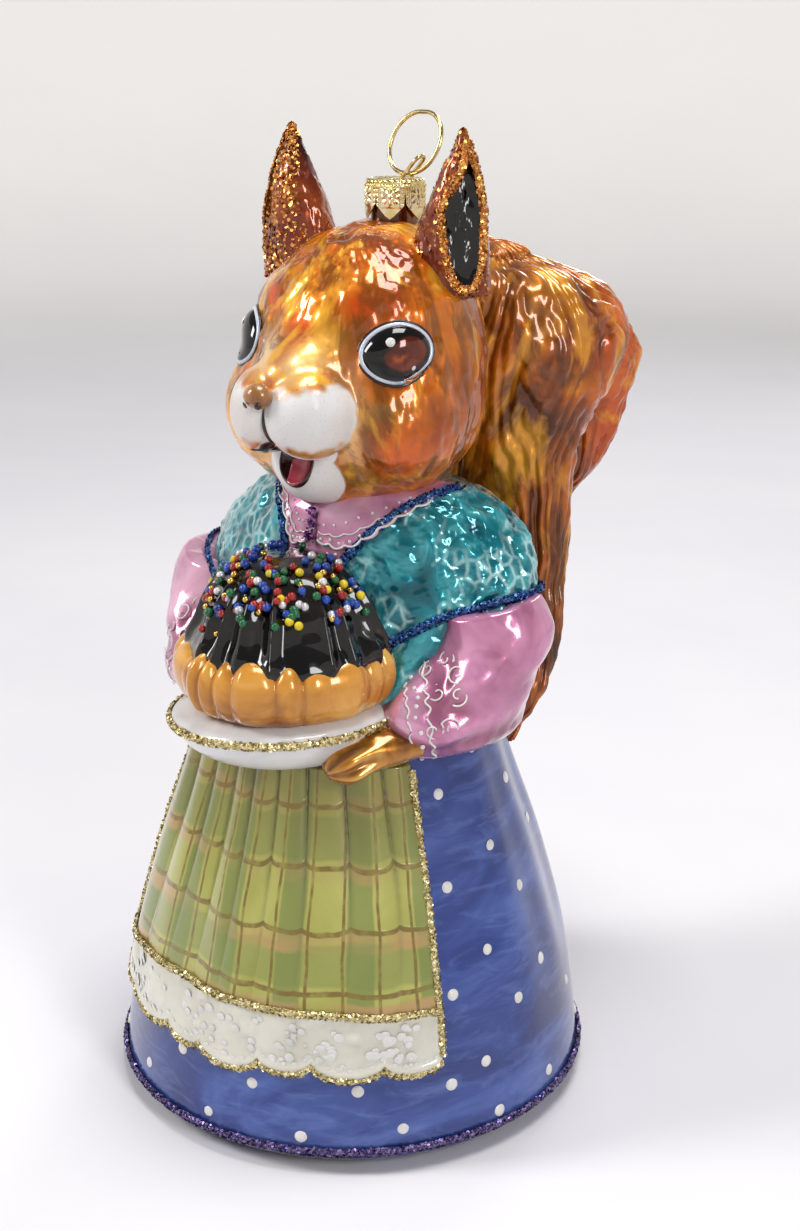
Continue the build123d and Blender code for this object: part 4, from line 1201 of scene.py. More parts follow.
def plate_piece():
    """Plate: a turned profile that tilts a little towards the right paw."""
    points = cake_points(
        PLATE_EDGE, 60, CAKE_WAYS,
        lambda radius, height, share: (radius, height + plate_dip(radius, CAKE_WAYS)),
    )
    look = lacquer(
        "plate_white", tone(206, 206, 208), tone(230, 229, 228), tone(240, 240, 240), 60.0,
        metallic=0.0, roughness=0.25,
    )
    settle(closed_mesh("plate", points), look.material, ["plate"])


def crust_piece():
    """Crust: a turned profile pushed out in uneven flutes, which also lift its upper edge."""
    lap = np.radians(CAKE_WAYS)
    flute = np.abs(np.sin(lap * 10 + 1.5 * np.sin(lap * 3) + 0.9 * np.sin(lap * 7 + 1))) ** 0.65
    sway = 0.35 * uneven(CAKE_WAYS, np.random.default_rng(9).normal(0, 1, 24))

    def wave(radius, height, share):
        body = np.sin(share * pi) ** 0.5
        push = (flute - 0.6) * 0.75 * body * (0.65 + 0.5 * ease(share, 0.0, 0.5)) + sway * body
        rise = (flute - 0.5) * 1.3 * ease(share, 0.35, 0.9) + sway * ease(share, 0.3, 1)
        return radius + push, height + rise

    points = cake_points(CRUST_EDGE, 90, CAKE_WAYS, wave)
    crust = closed_mesh("cake_crust", points, {"relief": np.broadcast_to(flute, points.shape[:2])})
    look = lacquer(
        "crust_caramel", tone(158, 92, 22), tone(216, 150, 58), tone(240, 192, 104), 70.0,
        metallic=0.15, roughness=0.26, relief="relief", depth=0.32,
    )
    settle(crust, look.material, ["cake_crust"])


def glaze_piece():
    """Glaze: a turned profile pushed in along uneven grooves, whose low edge falls in drips; gives
    back its points."""
    lap = np.radians(CAKE_WAYS)
    groove = np.abs(np.cos(lap * 8.5 + 0.9 * np.sin(lap * 4) + 0.5 * np.sin(lap * 9 + 2)))
    drip = uneven(CAKE_WAYS, np.random.default_rng(21).uniform(-1, 1, 30))

    def wave(radius, height, share):
        low = 1 - ease(share, 0.0, 0.3)
        push = (0.55 - groove ** 1.3) * 1.5 * ease(share, 0.02, 0.2) * (1 - ease(share, 0.55, 0.8))
        fall = (2.0 * (1 - groove) + drip * 1.2 - 0.6) * low
        spots = np.stack(np.broadcast_arrays(CAKE_WAYS * 0.12, height, share), -1)
        return radius + push + 0.25 * noise(spots, 0.6, 90), height - fall

    points = cake_points(GLAZE_EDGE, 110, CAKE_WAYS, wave) + [0.8, 0, 0]
    look = lacquer(
        "glaze_black", tone(6, 5, 5), tone(14, 12, 12), tone(46, 36, 34), 70.0, metallic=0.25,
        roughness=0.16, bump=0.05,
    )
    settle(closed_mesh("cake_glaze", points), look.material, ["cake_glaze"])
    return points


def plate_rim(pale):
    """Gold glitter line round the plate's edge."""
    around = np.linspace(-180, 180, 300, endpoint=False)
    height = PLATE_RIM_HEIGHT + plate_dip(PLATE_RIM_RADIUS, around)
    rim = front_points(height, around, PLATE_RIM_RADIUS) + [0, CAKE_BACK, 0]
    name = "plate_rim_glitter"
    glitter_line(name, rim, front_way(around), 1.15, 0.55, pale, 16, 77, name, True)


BEAD_LOOKS = {
    "beads_red": (tone(120, 10, 8), tone(178, 34, 24), 0.0),
    "beads_blue": (tone(10, 34, 120), tone(34, 80, 178), 0.0),
    "beads_green": (tone(4, 62, 32), tone(20, 108, 62), 0.0),
    "beads_gold": (tone(150, 104, 20), tone(232, 190, 90), 0.95),
    "beads_clear": (tone(176, 172, 176), tone(232, 230, 232), 0.35),
    "beads_yellow": (tone(196, 160, 6), tone(238, 216, 40), 0.0),
}


BALL_RINGS, BALL_SIDES = 9, 16
BEAD_COUNT, BEAD_SMALL, BEAD_LARGE, GOLD_BEAD_SHARE = 290, 0.62, 0.76, 0.78
BEAD_SHARES = [0.24, 0.2, 0.18, 0.2, 0.1, 0.08]


def ball():
    """Points of a ball of radius 1, rings from pole to pole and then the poles, and its faces."""
    tilt = np.linspace(0, pi, BALL_RINGS + 2)[1:-1, None]
    angle = np.linspace(0, 2 * pi, BALL_SIDES, endpoint=False)
    rings = np.stack(
        np.broadcast_arrays(np.sin(tilt) * np.cos(angle), np.sin(tilt) * np.sin(angle), np.cos(tilt)), -1
    )
    points = np.vstack([rings.reshape(-1, 3), [[0, 0, 1], [0, 0, -1]]])
    return points, turned_out(points, closed_faces(BALL_RINGS, BALL_SIDES))


def bead_pieces(glaze):
    """Beads: balls spread by the golden angle over the glaze's dome, seated on its fluted surface."""
    rows, columns = glaze.shape[:2]
    outward = normals_of(glaze, True)
    if (outward[rows // 2] * (glaze[rows // 2] - [0, CAKE_BACK, 85])).sum() < 0:
        outward = -outward
    random = np.random.default_rng(6)
    step = np.arange(BEAD_COUNT)
    share = 1 - 0.56 * np.sqrt((step + 0.5) / BEAD_COUNT)
    stray = random.random(BEAD_COUNT) < 0.05
    share = np.where(stray, share - 0.14, share)
    degrees = (step * GOLDEN_ANGLE + random.normal(0, 7, BEAD_COUNT)) % 360
    share = share + random.normal(0, 0.008, BEAD_COUNT)
    row = np.clip(share * (rows - 1), 0, rows - 1).astype(int)
    column = (degrees / 360 * columns).astype(int) % columns
    seat = glaze[row, column]
    keep = (seat[:, 1] < -14.6) | (seat[:, 2] > 97.0)
    middles = (seat + outward[row, column] * 0.52)[keep]
    order = random.choice(len(BEAD_SHARES), keep.sum(), p=BEAD_SHARES)
    corners, faces = ball()
    for number, (name, (dark, light, metallic)) in enumerate(BEAD_LOOKS.items()):
        chosen = middles[order == number]
        size = random.uniform(BEAD_SMALL, BEAD_LARGE, len(chosen))
        size = size * (GOLD_BEAD_SHARE if "gold" in name else 1)
        points = chosen[:, None] + corners[None] * size[:, None, None]
        every = repeated(faces, len(chosen), len(corners))
        beads = make_mesh(name, points.reshape(-1, 3), every)
        look = lacquer(name, dark, light, light, 300.0, metallic=metallic, roughness=0.12, bump=0.02)
        settle(beads, look.material, [name])


# Tail

TAIL_ROWS = share_rows(
    [
        (0.00, 0.80, 0.31, 0, 0.43, 0), (0.10, 0.88, 0.44, 0, 0.58, 0), (0.21, 0.88, 0.51, 0, 0.69, 0),
        (0.33, 0.84, 0.54, 0, 0.76, 0), (0.48, 0.83, 0.54, 0, 0.80, 0), (0.61, 0.85, 0.59, 0, 0.82, 0),
        (0.69, 0.91, 0.74, 0, 0.88, 0), (0.78, 0.99, 0.92, 0, 0.96, 0), (0.86, 1.00, 1.00, 0, 1.00, 0),
        (0.92, 0.91, 0.90, 0, 0.98, 0), (0.97, 0.70, 0.67, 0, 0.94, 0), (1.00, 0.36, 0.33, 0, 0.92, 0),
    ],
    58.0, 80.8, 27.5, 19.5, back=41.5,
)
CURL_ROWS = share_rows(
    [
        (0.00, 0.16, 0.22, 0, 0.91, 0), (0.10, 0.41, 0.44, 0, 0.93, 0), (0.25, 0.63, 0.67, 0, 0.96, 0),
        (0.42, 0.82, 0.89, 0, 0.99, 0), (0.60, 0.94, 1.00, 0, 1.00, 0), (0.80, 1.03, 1.04, 0, 0.99, 0),
        (0.90, 1.08, 1.12, 0, 0.97, 0), (1.00, 1.06, 1.13, 0, 0.94, 0),
    ],
    86.0, 40.0, 24.5, 9.0, back=52.0,
)


def fur_grooves(points, angle, height, seed):
    """Long locks of fur: ridges along the height that wander sideways and part and meet again."""
    drift = 0.55 * noise(points * [1, 1, 0.35], 0.12, seed) + 0.2 * np.sin(height / 11.0 + angle * 2)
    coarse = np.abs(np.sin(6.5 * (angle + 1.5 * drift)))
    fine = np.abs(np.sin(19 * (angle + drift) + 2.2 * noise(points, 0.16, seed + 1)))
    breaks = layered(points * [1, 1, 0.6], 0.3, seed + 2, 3)
    return 0.4 * coarse ** 0.7 + 0.34 * fine ** 0.8 + 0.4 * breaks


def tail_look():
    """Amber lacquer with red, olive, dark and glowing strokes, mauve above and silver behind."""
    look = lacquer(
        "tail_amber", tone(74, 28, 2), tone(176, 88, 10), tone(236, 154, 34), 44.0, (1, 1, 0.6),
        metallic=0.34, roughness=0.32, relief="relief", depth=0.6, warp=1.8,
    )
    colour = look.colour
    for noise_values, low, high, most, paint in (
        ((26.0, (1, 1, 0.5)), 0.5, 0.64, 0.75, tone(206, 82, 8)),
        ((31.0, (1, 1, 0.6), 3.0, 0.5), 0.56, 0.7, 0.6, tone(104, 78, 10)),
        ((90.0, (1, 1, 0.4), 5.0, 1.6), 0.5, 0.62, 0.75, tone(74, 36, 4)),
        ((70.0, (1, 1, 0.45), 5.0, 1.8), 0.52, 0.63, 0.7, tone(240, 164, 40)),
    ):
        colour = look.mix(look.ramp(look.noise(*noise_values), (low, 0.0), (high, most)), colour, paint)
    colour = look.mix(look.shade("mauve"), colour, tone(138, 78, 30))
    look.feed(Base_Color=look.mix(look.shade("silver"), colour, tone(150, 112, 70)))
    return look


def tail_pieces():
    """Tail: two closed lofts of level ovals, stem and curl, with fur grooves raised on both."""
    look = tail_look()
    for name, rows, dome, seed, size in (
        ("tail", TAIL_ROWS, (0, 2.6), 130, 1.0), ("tail_curl", CURL_ROWS, (1.4, 3.6), 150, 0.9)
    ):
        points, outward, angle, height = oval_grid(rows, 400, 170, dome)
        groove = fur_grooves(points, angle, height, seed)
        points = points + outward * ((groove - 0.5) * 1.25 * size)[..., None]
        front = ease(-outward[..., 1], -0.2, 0.6)
        shades = {
            "relief": ease(groove, 0.25, 0.85),
            "mauve": 0.45 * ease(height, 122, 134) * front * ease(noise(points, 0.1, 7), -0.4, 0.3),
            "silver": 0.6 * ease(points[..., 1], 58, 61) * (name == "tail_curl"),
        }
        settle(closed_mesh(name, points, shades), look.material, ["tail"] if name == "tail" else [])


# Head, face, eyes and ears

HEAD_ROWS = np.array([
    (0.00, 0.65, 0.68, 0.14), (0.11, 0.84, 0.85, 0.16), (0.23, 0.96, 0.95, 0.19), (0.37, 1.00, 1.00, 0.21),
    (0.51, 0.99, 1.00, 0.25), (0.65, 0.93, 0.97, 0.29), (0.80, 0.81, 0.86, 0.33), (0.89, 0.66, 0.72, 0.41),
    (0.96, 0.46, 0.54, 0.49), (1.00, 0.24, 0.31, 0.55),
]) * [42.1, 20.8, 18.0, 18.0] + [104.5, 0, 0, 0]
HEAD_HEART = np.array([0.0, 1.0, 122.0])
SNOUT = ((0, -9.5, 124.5), (7.6, 11.4, 6.4), 0)
PADS = [((4.7, -16.6, 119.6), (5.4, 7.6, 7.0), -30), ((-4.7, -16.6, 119.6), (5.4, 7.6, 7.0), 30)]
CHIN = ((0, -8.4, 109.6), (7.2, 7.2, 6.2), 0)
MOUTH = ((0, -15.6, 112.2), (3.4, 3.4, 4.2), 0)
CHEEKS = [((11.8, -4.0, 116.6), (8.0, 8.6, 8.4), 0), ((-11.8, -4.0, 116.6), (8.0, 8.6, 8.4), 0)]


def egg_gap(points, egg):
    """Near distance to an ellipsoid: length of p over r, less one, times its own slope's inverse."""
    middle, half, turn = egg
    local = turn_z(points - np.array(middle, float), -turn)
    scaled = local / half
    size = np.maximum(np.linalg.norm(scaled, axis=-1), 1e-6)
    slope = np.maximum(np.linalg.norm(scaled / half, axis=-1), 1e-6)
    return size * (size - 1) / slope


def blend_gap(first, second, soft):
    """Smooth smaller of two distances."""
    share = np.clip(0.5 + 0.5 * (second - first) / soft, 0, 1)
    return second * (1 - share) + first * share - soft * share * (1 - share)


def skull_gap(points):
    """Near distance to the head's ovals, with round ends above and below."""
    height = np.clip(points[..., 2], HEAD_ROWS[0, 0], HEAD_ROWS[-1, 0])
    row = natural(HEAD_ROWS, height)
    wide, deep = row[..., 0], row[..., 1]
    x, y = points[..., 0], points[..., 1] - row[..., 2]
    size = np.sqrt((x / wide) ** 2 + (y / deep) ** 2)
    level = (size - 1) * np.minimum(wide, deep)
    rise = points[..., 2] - HEAD_ROWS[-1, 0]
    fall = HEAD_ROWS[0, 0] - points[..., 2]
    end = np.maximum(rise * 1.6, fall * 1.2)
    return np.where(end > 0, np.maximum(level, 0) + end, level)


def head_gap(points):
    """The whole head: skull, cheeks, snout, muzzle pads, and chin melted together."""
    gap = skull_gap(points)
    for egg in CHEEKS:
        gap = blend_gap(gap, egg_gap(points, egg), 5.0)
    gap = blend_gap(gap, egg_gap(points, SNOUT), 6.0)
    gap = blend_gap(gap, egg_gap(points, CHIN), 2.4)
    for egg in PADS:
        gap = blend_gap(gap, egg_gap(points, egg), 1.0)
    mouth = egg_gap(points, MOUTH)
    gap = np.maximum(gap, -blend_gap(mouth, mouth + 9, 0.5))
    for side in (1, -1):
        socket = egg_gap(points, ((side * 15.4, -8.0, 129), (1.3, 5.6, 4.2), -38 * side))
        gap = np.maximum(gap, -socket)
    return gap


def between(inside, outside, is_inside, steps):
    """Places on the skin by halving between places inside and outside it."""
    for _ in range(steps):
        middle = (inside + outside) / 2
        hit = is_inside(middle)
        inside, outside = np.where(hit, middle, inside), np.where(hit, outside, middle)
    return inside


def cast(ways):
    """Distance from the heart to the head's skin along unit ways."""
    near, far = np.full(ways.shape[:-1], 3.0), np.full(ways.shape[:-1], 46.0)
    return between(near, far, lambda reach: head_gap(HEAD_HEART + ways * reach[..., None]) < 0, 34)


def skin_at(x, z):
    """Front point of the head at a sideways place and height, found by steps from in front and then
    by halving, and the way out there."""
    x, z = np.broadcast_arrays(np.asarray(x, float), np.asarray(z, float))
    steps = np.linspace(-40.0, 1.0, 90)
    probe = np.stack(np.broadcast_arrays(x[..., None], steps, z[..., None]), -1)
    hit = (head_gap(probe) < 0).argmax(-1)
    before = np.maximum(hit - 1, 0)
    y = between(steps[hit], steps[before], lambda y: head_gap(np.stack([x, y, z], -1)) < 0, 20)
    spot = np.stack([x, y, z], -1)
    shift = np.eye(3) * 0.05
    slope = np.stack([head_gap(spot + s) - head_gap(spot - s) for s in shift], -1)
    return spot, slope / np.linalg.norm(slope, axis=-1, keepdims=True)


def white_part(points):
    """How white the paint is: 1 on the muzzle pads, the snout's flank and the chin."""
    gap = egg_gap(points, ((0, -12.5, 108.6), (6.8, 7.6, 5.4), 0))
    gap = np.minimum(gap, egg_gap(points, ((0, -14.5, 115.0), (7.2, 7.0, 6.0), 0)))
    for middle, half, turn in PADS:
        gap = np.minimum(gap, egg_gap(points, (middle, (half[0], half[1], 6.3), turn)))
    return 1 - ease(gap + 0.12 * noise(points, 0.7, 17), 0.2, 0.42)


def head_paint(points):
    """Where each colour of the face's paint lies: bells about its middle, sideways and in height."""
    x, y, z = points[..., 0], points[..., 1], points[..., 2]
    side = np.abs(x)
    cream = bell(side, 9.2, 2.6) * bell(z, 117.5, 7.0) * ease(-y, 6, 12)
    cream = np.maximum(cream, bell(side, 3.4, 3.2) * bell(z, 127.6, 3.2) * ease(-y, 9, 14))
    red = 0.9 * bell(side, 8.5, 4.4) * bell(z, 136.4, 3.0) * ease(-y, -2, 6)
    red = np.maximum(red, 0.85 * bell(side, 0, 3.2) * bell(z, 131, 5) * ease(-y, 8, 14))
    olive = 0.8 * bell(side, 14.5, 3.6) * bell(z, 120.5, 2.2) * ease(-y, -4, 5)
    olive = np.maximum(olive, 0.6 * bell(side, 7.0, 2.4) * bell(z, 131.5, 3.0) * ease(-y, 6, 12))
    olive = np.maximum(olive, 0.75 * bell(side, 9.5, 5.5) * bell(z, 108.5, 3.2) * ease(-y, -2, 6))
    blush = 0.8 * bell(side, 15.5, 4.2) * bell(z, 113.5, 4.0) * ease(-y, -6, 3)
    return {"cream": cream, "red": red, "olive": olive, "blush": blush, "rear": ease(y, 12, 20)}


def head_look():
    """Amber lacquer with the face's patches and strokes, and matt speckled white on the muzzle."""
    look = lacquer(
        "head_amber", tone(136, 54, 2), tone(218, 114, 10), tone(250, 176, 44), 52.0, (1, 1, 0.7),
        metallic=0.36, roughness=0.32, relief="relief", depth=0.5, warp=1.3,
    )
    breakup = look.ramp(look.noise(95.0, (1, 1, 0.6), 4.0, 0.8), (0.28, 0.35), (0.58, 1.0))
    colour = look.colour
    for key, paint in (
        ("rear", tone(92, 28, 4)), ("red", tone(206, 70, 4)), ("blush", tone(220, 86, 8)),
        ("olive", tone(96, 82, 8)), ("cream", tone(240, 206, 140)),
    ):
        colour = look.mix(look.times(look.shade(key), breakup), colour, paint)
    strokes = look.ramp(look.noise(120.0, (1, 1, 0.35), 5.0, 1.6), (0.5, 0.0), (0.6, 0.72))
    colour = look.mix(strokes, colour, tone(112, 60, 4))
    glow = look.ramp(look.noise(84.0, (1, 1, 0.4), 5.0, 1.8), (0.52, 0.0), (0.62, 0.7))
    colour = look.mix(glow, colour, tone(252, 186, 58))
    fleck = look.ramp(look.cells(1900.0)["Distance"], (0.1, 1.0), (0.26, 0.0))
    chalk = look.mix(look.times(fleck, 0.35), tone(226, 224, 222), tone(168, 160, 150))
    chalk = look.mix(look.ramp(look.noise(80.0), (0.35, 0.3), (0.6, 0.0)), chalk, tone(214, 186, 160))
    white = look.shade("white")
    look.feed(
        Base_Color=look.mix(white, colour, chalk),
        Metallic=look.times(look.math("SUBTRACT", 1.0, white), 0.36),
        Roughness=look.math("ADD", look.times(white, 0.22), 0.32),
        Coat_Weight=look.math("SUBTRACT", 1.0, look.times(white, 0.82)),
    )
    return look


def head_piece():
    """Head: rays from its heart end where the melted distance is zero, plus a low fur relief."""
    tilt = np.linspace(0.02, pi - 0.02, 255)[:, None]
    around = np.linspace(-pi, pi, 380, endpoint=False)[None]
    squeeze = around - 0.35 * np.sin(around)
    ways = np.stack(
        np.broadcast_arrays(
            np.sin(tilt) * np.sin(squeeze), -np.sin(tilt) * np.cos(squeeze), -np.cos(tilt)
        ),
        -1,
    )
    points = HEAD_HEART + ways * cast(ways)[..., None]
    white = white_part(points)
    spots = points * [1, 1, 0.6]
    x, y, z = points[..., 0], points[..., 1], points[..., 2]
    flow = np.arctan2(x, -(y - 6)) * 9 + 0.22 * (z - 120) * np.sign(x)
    hair = np.abs(np.sin(flow * 1.6 + 3.0 * noise(spots, 0.16, 51)))
    fur = (0.22 * hair + 0.8 * layered(spots, 0.34, 53, 3)) * (1 - white)
    fur = fur * (1 - 0.85 * bell(x, 0, 6.5) * ease(-y, 8, 14))
    shades = head_paint(points)
    points = points + ways * (fur * 0.42 - 0.1)[..., None]
    shades.update({"relief": np.clip(0.62 + fur * 0.55, 0, 1), "white": white})
    settle(closed_mesh("head", points, shades), head_look().material, ["head", "muzzle", "chin"])


def nose_piece():
    """Nose: a ball squeezed below and pinched along its middle."""
    look = lacquer(
        "nose_tan", tone(126, 78, 40), tone(168, 116, 68), tone(204, 156, 108), 200.0, metallic=0.1,
        roughness=0.3,
    )
    tilt = np.linspace(0.05, pi - 0.05, 40)[:, None]
    around = np.linspace(0, 2 * pi, 72, endpoint=False)[None]
    ways = np.stack(
        np.broadcast_arrays(np.sin(tilt) * np.cos(around), np.sin(tilt) * np.sin(around), np.cos(tilt)), -1
    )
    x, z = ways[..., 0], ways[..., 2]
    pinch = 1 + 0.18 * np.clip(z, -1, 1) - 0.1 * bell(x, 0, 0.25) * ease(-z, 0, 1)
    nose = np.array([-0.3, -23.6, 122.8]) + ways * np.array([2.3, 2.1, 2.0]) * pinch[..., None]
    settle(closed_mesh("nose", nose), look.material, ["nose"])


def mouth_lines(dark):
    """Painted lines: one down between the muzzle's pads and one to each side, each a thin tube on
    the skin that tapers by the root of a sine."""
    share = np.linspace(0, 1, 44)
    for name, x, z, radius in (
        ("muzzle_line", 0 * share, 121.0 - 6.6 * share, 0.27),
        ("mouth_line_left", 0.2 + 3.4 * share, 114.6 - 1.4 * share, 0.2),
        ("mouth_line_right", -0.2 - 4.6 * share, 114.6 - 1.5 * share + 0.6 * share ** 2, 0.22),
    ):
        spot, out = skin_at(x, z)
        thin = radius * np.sqrt(np.sin(np.clip(share * pi, 0.12, pi - 0.12)))
        settle(tube_mesh(name, spot + out * 0.03, thin, 8, guide=(0, -1, 0)), dark)


def mouth_oval(name, material, wide, tall, middle_height, lift):
    """An oval laid in the mouth's hollow, its middle lifted by the fourth root's fall to its edge,
    closed behind by a level ring."""
    ring = np.linspace(0, 1, 22)[:, None]
    turn = np.linspace(0, 2 * pi, 56, endpoint=False)[None]
    spot, _ = skin_at(ring * wide * np.cos(turn), middle_height + ring * tall * np.sin(turn))
    height = lift * np.sqrt(np.clip(1 - ring ** 4, 0, 1)) + 0.1
    patch = spot + np.array([0, -1.0, 0]) * height[..., None]
    behind = patch[-1:] * [1, 0, 1] + [0, patch[..., 1].max() + 1.0, 0]
    settle(closed_mesh(name, np.concatenate([behind, patch[::-1]])), material, [name])


def face_pieces():
    """Nose, nostrils, painted lines, mouth and tongue, each seated on the head's skin."""
    nose_piece()
    dark = lacquer(
        "mouth_brown", tone(30, 12, 8), tone(58, 24, 16), tone(90, 42, 28), 200.0, metallic=0.0,
        roughness=0.28,
    )
    spots = [(0.95, -25.35, 121.9), (-1.45, -25.35, 121.9)]
    outs = [(0.35, -0.85, -0.4), (-0.35, -0.85, -0.4)]
    settle(domes_mesh("nostrils", spots, outs, 0.55, 0.22, 3, 14), dark.material)
    mouth_lines(dark.material)
    mouth_oval("mouth", dark.material, 3.3, 4.2, 111.3, 0.12)
    pink = lacquer(
        "tongue_pink", tone(176, 60, 76), tone(214, 92, 106), tone(236, 140, 150), 200.0,
        metallic=0.1, roughness=0.22,
    )
    mouth_oval("tongue", pink.material, 1.95, 2.9, 110.4, 0.85)


EYE_LONG, EYE_TALL, EYE_LEAN, EYE_TURN = 5.5, 4.15, 0.24, radians(52)
EYE_PLACES = ((-7.6, (24, 36), (30, 98)), (-6.6, (24, 24), (30, 82)))


def eye_look():
    """Black eye with a brown glow inside it, and a spot of painted light in the glow."""
    look = lacquer(
        "eye_brown", tone(52, 10, 4), tone(92, 28, 12), tone(140, 60, 28), 130.0, metallic=0.3,
        roughness=0.12, bump=0.0,
    )
    colour = look.mix(look.shade("black"), look.colour, tone(6, 4, 4))
    # Painted light: a warm patch laid low in the brown.
    look.feed(Base_Color=look.mix(look.shade("painted_light"), colour, tone(176, 84, 36)))
    return look


def eye_seat(middle, way, across, u, v):
    """Points of the head's skin behind a sideways and an upward place, by halving along the way."""
    ray = middle + way * 12 + across * u[..., None] + np.array([0, 0, 1.0]) * v[..., None]
    inside, outside = np.full(u.shape, 22.0), np.full(u.shape, 0.0)
    reach = between(inside, outside, lambda reach: head_gap(ray - way * reach[..., None]) < 0, 26)
    return ray - way * reach[..., None]


def eye_dome(middle, way, across, u, v, share):
    """Dome of the eye: an almond that meets the skin at its rim and rises by a soft root of its
    share inside it, its rim sunk a little; and the rim on the skin."""
    rim = eye_seat(middle, way, across, u[-1:], v[-1:])
    level = (rim - middle) @ way
    flat = middle + across * u[..., None] + np.array([0, 0, 1.0]) * v[..., None]
    base = flat + way * (share ** 2 * level)[..., None]
    height = 1.9 * np.sqrt(np.clip(1 - share ** 2.6, 0, 1))
    dome = base + way * (height + (1 - share ** 2) * level.mean() * 0.3)[..., None]
    dome[-1] -= way * 0.8
    return dome, rim[0]


def eye_pieces(looks):
    """Eyes: an almond dome on the head's skin, with a pale rim, a dark line, and two painted highlights.
    The rows of its paint run against those of the dome, so the black lies round the brown glow."""
    share = np.linspace(0.02, 1, 44)[:, None]
    turn = np.linspace(0, 2 * pi, 120, endpoint=False)[None]
    x, z = share * EYE_LONG * np.cos(turn), share * EYE_TALL * np.sin(turn)
    u = x * cos(EYE_LEAN) - z * sin(EYE_LEAN)
    v = x * sin(EYE_LEAN) + z * cos(EYE_LEAN)
    v = v * (1 - 0.10 * (u / EYE_LONG) ** 2)
    edge = np.sqrt((u / EYE_LONG) ** 2 + (v / EYE_TALL) ** 2)
    # The second shade is painted light, a warm glow low in the brown.
    shades = {
        "black": 1 - ease(np.sqrt((u + 0.9) ** 2 + (v - 0.1) ** 2), 1.9, 2.4),
        "painted_light": 0.75 * bell(edge, 0.86, 0.1) * ease(-v, -1.5, 3),
    }
    brown = eye_look()
    pale = lacquer(
        "eye_rim", tone(176, 184, 200), tone(208, 214, 226), tone(232, 236, 242), 160.0, metallic=0.1,
        roughness=0.3,
    )
    line = lacquer(
        "eye_line", tone(20, 10, 8), tone(40, 20, 14), tone(60, 32, 22), 160.0, metallic=0.0,
        roughness=0.3,
    )
    for (side, tag), (back, light_spot, spark_spot) in zip(SIDES, EYE_PLACES):
        middle = np.array([side * 14.5, back, 128.9])
        way = np.array([side * sin(EYE_TURN), -cos(EYE_TURN), 0.02])
        way /= np.linalg.norm(way)
        across = np.array([side * cos(EYE_TURN), sin(EYE_TURN), 0.0])
        dome, rim = eye_dome(middle, way, across, u, v, share)
        settle(closed_mesh("eye_" + tag, dome[::-1], shades), brown.material, ["eye_" + tag])
        guide = tuple(way)
        settle(tube_mesh("eye_rim_" + tag, rim + way * 0.05, 0.42, 10, True, guide), pale.material)
        wide = eye_seat(middle, way, across, u[-1:] * 1.1, v[-1:] * 1.13)[0]
        settle(tube_mesh("eye_line_" + tag, wide, 0.2, 8, True, guide), line.material)
        # Painted highlights: two white domes on each eye, a light and a spark, stand for reflections.
        for name, spot, radius, tall, sides in (
            ("eye_light_", light_spot, 0.75, 0.28, 16), ("eye_spark_", spark_spot, 0.42, 0.2, 14),
        ):
            push = dome[spot] - (middle - way * 3)
            seat = dome[spot] - push * 0.01
            settle(domes_mesh(name + tag, [seat], [push], radius, tall, 3, sides), looks["pearl"])


EAR_ROWS = share_rows(
    [
        (0.00, 1.00, 1.00, 0.86, 0.97, 0), (0.29, 0.87, 1.00, 0.88, 0.97, 0),
        (0.54, 0.64, 0.87, 0.93, 0.97, 0), (0.79, 0.37, 0.52, 0.98, 0.99, 0),
        (1.00, 0.07, 0.11, 1.00, 1.00, 0),
    ],
    137.0, 24.0, 7.6, 4.6, side=16.6, back=7.2,
)


EAR_HEART = np.array([19.2, 3.6, 148.9])
EAR_TALL, EAR_WIDE = 10.8, 2.9
EAR_HALVES = ((-23.0, 0.9, 260), (12.0, 0.0, 1150))


def leaf(v):
    """Half width of the hollow at a height above its middle: it narrows towards the tip."""
    return EAR_WIDE * (1 - 0.75 * ease(v, 0.0, EAR_TALL))


